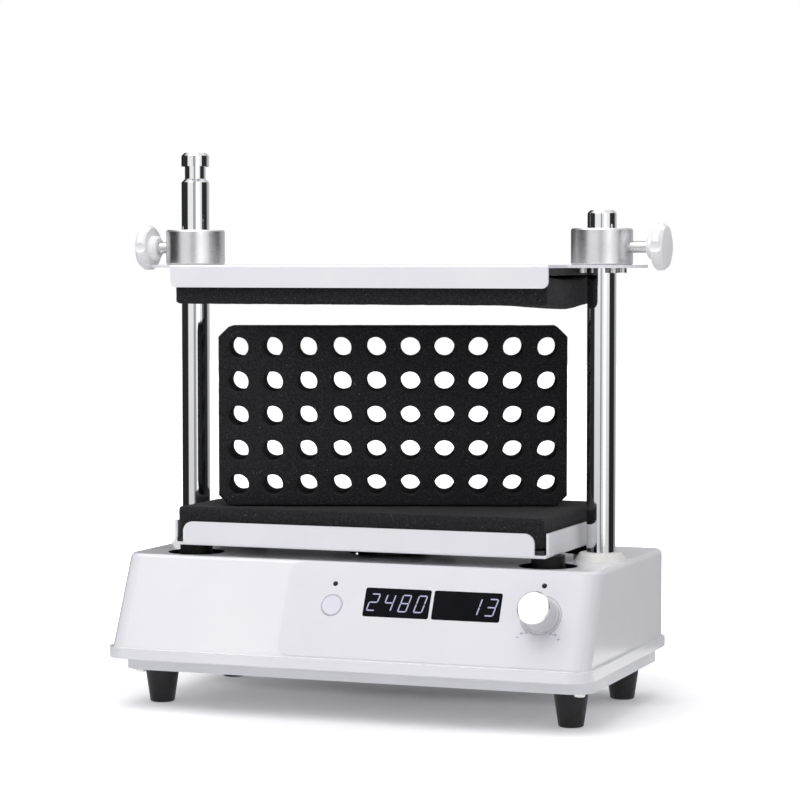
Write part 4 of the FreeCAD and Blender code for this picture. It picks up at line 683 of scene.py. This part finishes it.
def makeWindow(node, gap):
    # A block with rounded upright edges in a display's place, and larger by the gap all round
    back = onFace.inverted()
    spots = [back @ vertex.co for vertex in nodes[node].data.vertices]
    low = Vector([min(spot[axis] for spot in spots) - gap for axis in range(3)])
    high = Vector([max(spot[axis] for spot in spots) + gap for axis in range(3)])
    deselectAll()
    bpy.ops.mesh.primitive_cube_add(size=1, location=(low + high) / 2)
    block = bpy.context.object
    block.scale = high - low
    settle(block)
    bpy.ops.object.mode_set(mode="EDIT")
    pick(block, "EDGE", lambda edge: abs(edge.verts[0].co.z - edge.verts[1].co.z) > (high - low).z / 2)
    bpy.ops.mesh.bevel(offset=filmLook["windowCorner"] + gap, segments=filmLook["windowSteps"],
                       affect="EDGES")
    bpy.ops.object.mode_set(mode="OBJECT")
    return block


def makeDisplay(name, node):
    display = makeWindow(node, 0)
    settle(display, onFace)
    finishPiece(display, name, finishes["display_dark"], "housing", (node,),
                smoothAngles["thin"])


def makeFilm(name, node):
    # The printed film, drawn flat in the face's own directions and laid on the cover
    deselectAll()
    bpy.ops.mesh.primitive_plane_add(size=1)
    film = bpy.context.object
    width = filmLook["bend"] - filmLook["left"]
    height = filmLook["top"] - filmLook["bottom"]
    film.scale = (width, height, 1)
    film.location = (filmLook["left"] + width / 2, filmLook["bottom"] + height / 2, 0)
    settle(film)
    bpy.ops.object.mode_set(mode="EDIT")
    pick(film, "VERT", lambda vertex: vertex.co.x < filmLook["left"] + tiny)
    bpy.ops.mesh.bevel(offset=filmLook["corner"], segments=filmLook["cornerSteps"], affect="VERTICES")
    pick(film, "EDGE", lambda edge: all(vertex.co.x > filmLook["bend"] - tiny for vertex in edge.verts))
    axisSpot = (filmLook["bend"], 0, -filmLook["wrapRadius"])
    bpy.ops.mesh.spin(steps=filmLook["wrapSteps"], angle=filmLook["wrapAngle"], center=axisSpot,
                      axis=(0, -1, 0))
    bpy.ops.mesh.select_all(action="SELECT")
    bpy.ops.mesh.normals_make_consistent(inside=False)
    bpy.ops.object.mode_set(mode="OBJECT")
    upward = sum(face.normal.z for face in film.data.polygons) > 0
    applyModifier(film, "SOLIDIFY", "film", thickness=filmLook["thick"], offset=1 if upward else -1)
    for across, up, radius in filmLook["holes"]:
        deselectAll()
        bpy.ops.mesh.primitive_cylinder_add(vertices=filmLook["holeSides"], radius=radius,
                                            depth=filmLook["cutDepth"], location=(across, up, 0))
        cutHole(film, bpy.context.object)
    for holder in ("speed_display", "time_display"):
        cutHole(film, makeWindow(holder, filmLook["windowGap"]))
    settle(film, onFace)
    finishPiece(film, name, finishes["film_grey"], "housing", (node,), smoothAngles["thin"])


# Lit figures of the two displays
digitLook = {
    "height": 0.0125,
    "width": 0.0066,
    "stroke": 0.00085,
    "gap": 0.0005,
    "slant": math.radians(13),
    "pitch": 0.0113,
    "margin": 0.0034,                  # from the window's right edge to the last figure
    "lift": 0.00005,
    "thick": 0.00008,
    "barSides": 6,
    "barTurn": math.radians(30),       # turns the six-sided start of a bar so that it points along it
    "speed": "2480",
    "time": "13",
}
# Segments a to g: middle across, middle up, in halves of the figure, and whether the bar lies level
segments = {
    "a": (0, 1, True), "b": (1, 0.5, False), "c": (1, -0.5, False), "d": (0, -1, True),
    "e": (-1, -0.5, False), "f": (-1, 0.5, False), "g": (0, 0, True),
}
figureBars = {"0": "abcdef", "1": "bc", "2": "abged", "3": "abgcd", "4": "fgbc", "8": "abcdefg"}


def makeBar(length):
    # One segment: a thin bar with pointed ends, lying along X
    half = digitLook["stroke"] / 2
    deselectAll()
    bpy.ops.mesh.primitive_circle_add(
        vertices=digitLook["barSides"], radius=half / math.cos(digitLook["barTurn"]), fill_type="NGON",
        rotation=(0, 0, digitLook["barTurn"]))
    bar = bpy.context.object
    settle(bar)
    bpy.ops.object.mode_set(mode="EDIT")
    for side in (-1, 1):
        pick(bar, "VERT", lambda vertex: vertex.co.x * side > half / 4)
        bpy.ops.transform.translate(value=(side * (length / 2 - half), 0, 0))
    bpy.ops.mesh.select_all(action="SELECT")
    bpy.ops.mesh.extrude_region_move(TRANSFORM_OT_translate={"value": (0, 0, digitLook["thick"])})
    bpy.ops.mesh.select_all(action="SELECT")
    bpy.ops.mesh.normals_make_consistent(inside=False)
    bpy.ops.object.mode_set(mode="OBJECT")
    return bar


def makeReading(name, node, text):
    # The lit figures of one window, set from its right edge
    low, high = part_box(node)
    halfWindow = (high.x - low.x) / 2
    halfWide = (digitLook["width"] - digitLook["stroke"]) / 2
    halfTall = (digitLook["height"] - digitLook["stroke"]) / 2
    bars = []
    for index, figure in enumerate(reversed(text)):
        across = halfWindow - digitLook["margin"] - digitLook["width"] / 2 - index * digitLook["pitch"]
        for letter in figureBars[figure]:
            sideways, upwards, level = segments[letter]
            length = 2 * halfWide if level else halfTall
            bar = makeBar(length - digitLook["gap"])
            spot = (across + sideways * halfWide, upwards * halfTall, digitLook["lift"])
            turn = Matrix.Rotation(0 if level else math.radians(90), 4, "Z")
            lean = Matrix.Identity(4)
            lean[0][1] = math.tan(digitLook["slant"])
            bar.data.transform(lean @ Matrix.Translation(spot) @ turn)
            bars.append(bar)
    reading = joinPieces(bars)
    settle(reading, facePlace(node))
    finishPiece(reading, name, litSegment, "housing", (), smoothAngles["printed"])


# Printed ring on the start key, and the arc, arrows and signs round the dial
markLook = {
    "thick": 0.00005,
    "keyRing": 0.00685,                # radius of the printed ring on the start key
    "keyLine": 0.00035,
    "keyPlace": (-0.011, -0.0312, 0.0009),
    "dialPlace": (0.138, -0.032, 0.0004),
    "dialArc": 0.0141,                 # radius of the printed arc round the speed knob
    "dialLine": 0.00045,
    "arcStart": math.radians(238),     # from lower left, over the top, to lower right
    "arcEnd": math.radians(-58),
    "tail": (0.0052, -0.0006),         # from the arc's end to the arrow's point, outward and up
    "arrow": ((0.0016, 0.0011), (0.0017, -0.0009)),
    "signPlace": (0.0016, -0.0028),    # from the arrow's point to the sign
    "sign": 0.0026,
    "steps": 96,
    "weld": 1e-6,
}


def makeLine(start, end, width):
    # A thin flat bar between two points of the drawing
    start = Vector(start)
    end = Vector(end)
    deselectAll()
    bpy.ops.mesh.primitive_plane_add(size=1)
    line = bpy.context.object
    turn = math.atan2(end.y - start.y, end.x - start.x)
    middle = (start + end) / 2
    line.data.transform(Matrix.Translation((middle.x, middle.y, 0)) @ Matrix.Rotation(turn, 4, "Z")
                        @ Matrix.Diagonal(((end - start).length, width, 1, 1)))
    return line


def makeArc(radius, width, startAngle, endAngle):
    # A flat band spun round the drawing's middle
    deselectAll()
    bpy.ops.mesh.primitive_plane_add(size=1)
    arc = bpy.context.object
    bpy.ops.object.mode_set(mode="EDIT")
    pick(arc, "VERT", lambda vertex: vertex.co.y > 0)
    bpy.ops.mesh.delete(type="VERT")
    bpy.ops.mesh.select_all(action="SELECT")
    bpy.ops.object.mode_set(mode="OBJECT")
    arc.data.transform(Matrix.Rotation(startAngle, 4, "Z") @ Matrix.Translation((radius, 0, 0))
                       @ Matrix.Diagonal((width, 1, 1, 1)) @ Matrix.Translation((0, 0.5, 0)))
    takeUp(arc)
    bpy.ops.object.mode_set(mode="EDIT")
    bpy.ops.mesh.select_all(action="SELECT")
    bpy.ops.mesh.spin(steps=markLook["steps"], angle=startAngle - endAngle, center=(0, 0, 0),
                      axis=(0, 0, 1))
    bpy.ops.mesh.select_all(action="SELECT")
    bpy.ops.mesh.remove_doubles(threshold=markLook["weld"])
    bpy.ops.mesh.normals_make_consistent(inside=False)
    bpy.ops.object.mode_set(mode="OBJECT")
    return arc


def printMark(name, pieces, place, body="housing"):
    mark = joinPieces(pieces)
    applyModifier(mark, "SOLIDIFY", "ink", thickness=markLook["thick"], offset=0)
    settle(mark, place)
    finishPiece(mark, name, printInk, body, (), smoothAngles["printed"])


def makeMarks():
    ring = makeArc(markLook["keyRing"], markLook["keyLine"], math.tau, 0)
    printMark("start_key_ring", [ring], onFace @ Matrix.Translation(markLook["keyPlace"]), "start_key")
    radius = markLook["dialArc"]
    line = markLook["dialLine"]
    pieces = [makeArc(radius, line, markLook["arcStart"], markLook["arcEnd"])]
    for side, angle in ((1, markLook["arcEnd"]), (-1, markLook["arcStart"])):
        tip = Vector((radius * math.cos(angle), radius * math.sin(angle), 0))
        tail = tip + Vector((side * markLook["tail"][0], markLook["tail"][1], 0))
        sign = tail + Vector((side * markLook["signPlace"][0], markLook["signPlace"][1], 0))
        pieces.append(makeLine(tip, tail, line))
        for inward, rise in markLook["arrow"]:
            pieces.append(makeLine(tail, tail + Vector((-side * inward, rise, 0)), line))
        reach = Vector((markLook["sign"] / 2, 0, 0))
        pieces.append(makeLine(sign - reach, sign + reach, line))
        if side == 1:
            upright = Vector((0, markLook["sign"] / 2, 0))
            pieces.append(makeLine(sign - upright, sign + upright, line))
    printMark("dial_marks", pieces, onFace @ Matrix.Translation(markLook["dialPlace"]))


makeFilm("face_film", "control_panel_film")
makeDisplay("speed_glass", "speed_display")
makeDisplay("time_glass", "time_display")
makeReading("speed_reading", "speed_display", digitLook["speed"])
makeReading("time_reading", "time_display", digitLook["time"])
makeMarks()
print("Film, displays, readings and printed marks made")


# Studio: camera, floor, lamps and what polished metal sees round it
studio = {
    "cameraPlace": (0.6734, -1.7727, 0.3109),
    "cameraTarget": (0.00524, 0.009, 0.213176),
    "lens": 121.42,
    "sensor": 36,
    "floorSize": 12.0,
    "floorColor": (0.86, 0.86, 0.87),
    "floorRoughness": 0.9,
    "floorGloss": 0.1,
    "glowWithPaintedShadow": (0.16, 1.0),          # camera glow under the object, kept low there as painted shadow on top of the cast one, and far off where the floor is pure white
    "glowReach": (0.12, 0.50),
    "paintedShadowCore": ((0, 0.065, 0), (3.4, 1, 1)),    # middle of the painted shadow, where the glow is taken out, and how much longer than deep it is
    # reach of the painted shadow round its middle
    "paintedShadowReach": (0.02, 0.06),
    "mirrorGlow": 0.55,                # the floor's light as polished surfaces see it
    "mirrorReach": 0.4,                # past this, polished metal sees the surroundings and no floor
    "lowBand": (-0.1, 0.0),            # upward share of a direction below which metal sees a dimmer studio
    "lowShare": 0.7,
    "ceilingBand": (0.55, 0.8),        # upward share of a direction over which the ceiling takes over
    "ceiling": (0.95, 0.95, 0.95),
    "backdrop": (1, 1, 1),
    "fillColor": (0.95, 0.955, 1.0),
    "fillStrength": 0.5,
    "lampColor": (1.0, 0.99, 0.985),
    "lampTarget": (0.0, 0.0, 0.1),
}
lamps = {
    "softbox": {"place": (-0.15, -0.45, 1.35), "size": 1.4, "power": 14.2},
    "frontFill": {"place": (1.2, -1.5, 0.5), "size": 1.2, "power": 2.4},
}
# Brightness that polished surfaces see, by heading in degrees from the front towards +X
surroundStops = [
    (-180, 0.6), (-162, 0.5), (-157, 0.03), (-44, 0.03), (-38, 1.0), (6, 1.0), (8, 0.1), (10, 0.42),
    (28, 0.42), (30, 0.1), (33, 1.0), (76, 1.0), (83, 0.03), (132, 0.03), (140, 0.45), (180, 0.6),
]


def aim(thing, target):
    heading = Vector(target) - thing.location
    thing.rotation_euler = heading.to_track_quat("-Z", "Y").to_euler()


def makeCamera():
    data = bpy.data.cameras.new("camera")
    data.lens = studio["lens"]
    data.sensor_width = studio["sensor"]
    camera = bpy.data.objects.new("camera", data)
    bpy.context.scene.collection.objects.link(camera)
    camera.location = studio["cameraPlace"]
    aim(camera, studio["cameraTarget"])
    bpy.context.scene.camera = camera


def makeLamps():
    for name, look in lamps.items():
        data = bpy.data.lights.new(name, "AREA")
        data.size = look["size"]
        data.energy = look["power"]
        data.color = studio["lampColor"]
        lamp = bpy.data.objects.new(name, data)
        bpy.context.scene.collection.objects.link(lamp)
        lamp.location = look["place"]
        aim(lamp, studio["lampTarget"])


def makeSurroundings():
    # White for the camera, a studio with dark sides for what shines, and a soft fill for the rest
    world = bpy.data.worlds.new("studio")
    bpy.context.scene.world = world
    world.use_nodes = True
    tree = world.node_tree
    tree.nodes.clear()
    rays = addNode(tree, "ShaderNodeLightPath")
    direction = addNode(tree, "ShaderNodeTexCoord").outputs["Generated"]
    heading = addNode(tree, "ShaderNodeSeparateXYZ", {0: direction})
    front = addMath(tree, "MULTIPLY", heading.outputs["Y"], -1.0)
    turn = addMath(tree, "ARCTAN2", heading.outputs["X"], front)
    ramp = addNode(tree, "ShaderNodeValToRGB", {"Fac": addRange(tree, turn, 0, 1, -math.pi, math.pi)})
    stops = ramp.color_ramp.elements
    while len(stops) > 1:
        stops.remove(stops[-1])
    for index, (degrees, level) in enumerate(surroundStops):
        share = (degrees + 180) / 360
        stop = stops[0] if index == 0 else stops.new(share)
        stop.position = share
        stop.color = (level, level, level, 1)
    overhead = addRange(tree, heading.outputs["Z"], 0, 1, *studio["ceilingBand"])
    low = addRange(tree, heading.outputs["Z"], 1, 0, *studio["lowBand"])
    dimmed = addNode(tree, "ShaderNodeVectorMath", {0: ramp.outputs["Color"]}, operation="SCALE")
    dimmed.inputs["Scale"].default_value = studio["lowShare"]
    around = addBlend(tree, low, ramp.outputs["Color"], dimmed.outputs[0])
    seen = addBlend(tree, overhead, around, studio["ceiling"])
    mirrored = addMath(tree, "MAXIMUM", rays.outputs["Is Glossy Ray"], rays.outputs["Is Transmission Ray"])
    fill = [channel * studio["fillStrength"] for channel in studio["fillColor"]]
    mixed = addBlend(tree, mirrored, fill, seen)
    shown = addBlend(tree, rays.outputs["Is Camera Ray"], mixed, studio["backdrop"])
    background = addNode(tree, "ShaderNodeBackground", {"Color": shown, "Strength": 1.0})
    output = addNode(tree, "ShaderNodeOutputWorld")
    tree.links.new(background.outputs[0], output.inputs[0])


def makeFloor():
    deselectAll()
    bpy.ops.mesh.primitive_plane_add(size=studio["floorSize"])
    floor = bpy.context.object
    floor.name = "floor"
    material, tree, shader, place = startMaterial("floor", {
        "Roughness": studio["floorRoughness"], "Specular IOR Level": studio["floorGloss"]})
    shader.inputs["Base Color"].default_value = (*studio["floorColor"], 1)
    shader.inputs["Emission Color"].default_value = (1, 1, 1, 1)
    # Camera glow, low near the object and taken out round the core: a painted shadow that deepens the lamps'
    # cast shadow
    away = addNode(tree, "ShaderNodeVectorMath", {0: place}, operation="LENGTH").outputs["Value"]
    middle, stretch = studio["paintedShadowCore"]
    shifted = addNode(tree, "ShaderNodeVectorMath", {0: place, 1: middle}, operation="SUBTRACT").outputs[0]
    squeezed = addNode(tree, "ShaderNodeVectorMath", {0: shifted, 1: stretch}, operation="DIVIDE").outputs[0]
    fromPaintedShadowCore = addNode(tree, "ShaderNodeVectorMath", {0: squeezed}, operation="LENGTH").outputs["Value"]
    outsidePaintedShadow = addRange(tree, fromPaintedShadowCore, 0, 1, *studio["paintedShadowReach"])
    wide = addRange(tree, away, *studio["glowWithPaintedShadow"], *studio["glowReach"])
    glowWithPaintedShadow = addMath(tree, "MULTIPLY", wide, outsidePaintedShadow)
    rays = addNode(tree, "ShaderNodeLightPath")
    mirrored = addMath(tree, "MAXIMUM", rays.outputs["Is Glossy Ray"], rays.outputs["Is Transmission Ray"])
    soft = addMath(tree, "MULTIPLY", mirrored, studio["mirrorGlow"])
    sharp = addMath(tree, "MULTIPLY", rays.outputs["Is Camera Ray"], glowWithPaintedShadow)
    glow = addMath(tree, "MAXIMUM", soft, sharp)
    tree.links.new(glow, shader.inputs["Emission Strength"])
    beyond = addMath(tree, "GREATER_THAN", away, studio["mirrorReach"])
    opening = addMath(tree, "MULTIPLY", beyond, rays.outputs["Is Glossy Ray"])
    clear = addNode(tree, "ShaderNodeBsdfTransparent")
    mixed = addNode(tree, "ShaderNodeMixShader", {0: opening, 1: shader.outputs[0], 2: clear.outputs[0]})
    tree.links.new(mixed.outputs[0], tree.nodes["Material Output"].inputs["Surface"])
    floor.data.materials.append(material)


makeCamera()
makeLamps()
makeSurroundings()
makeFloor()
bpy.context.scene.view_settings.view_transform = "Standard"
print("Studio ready")
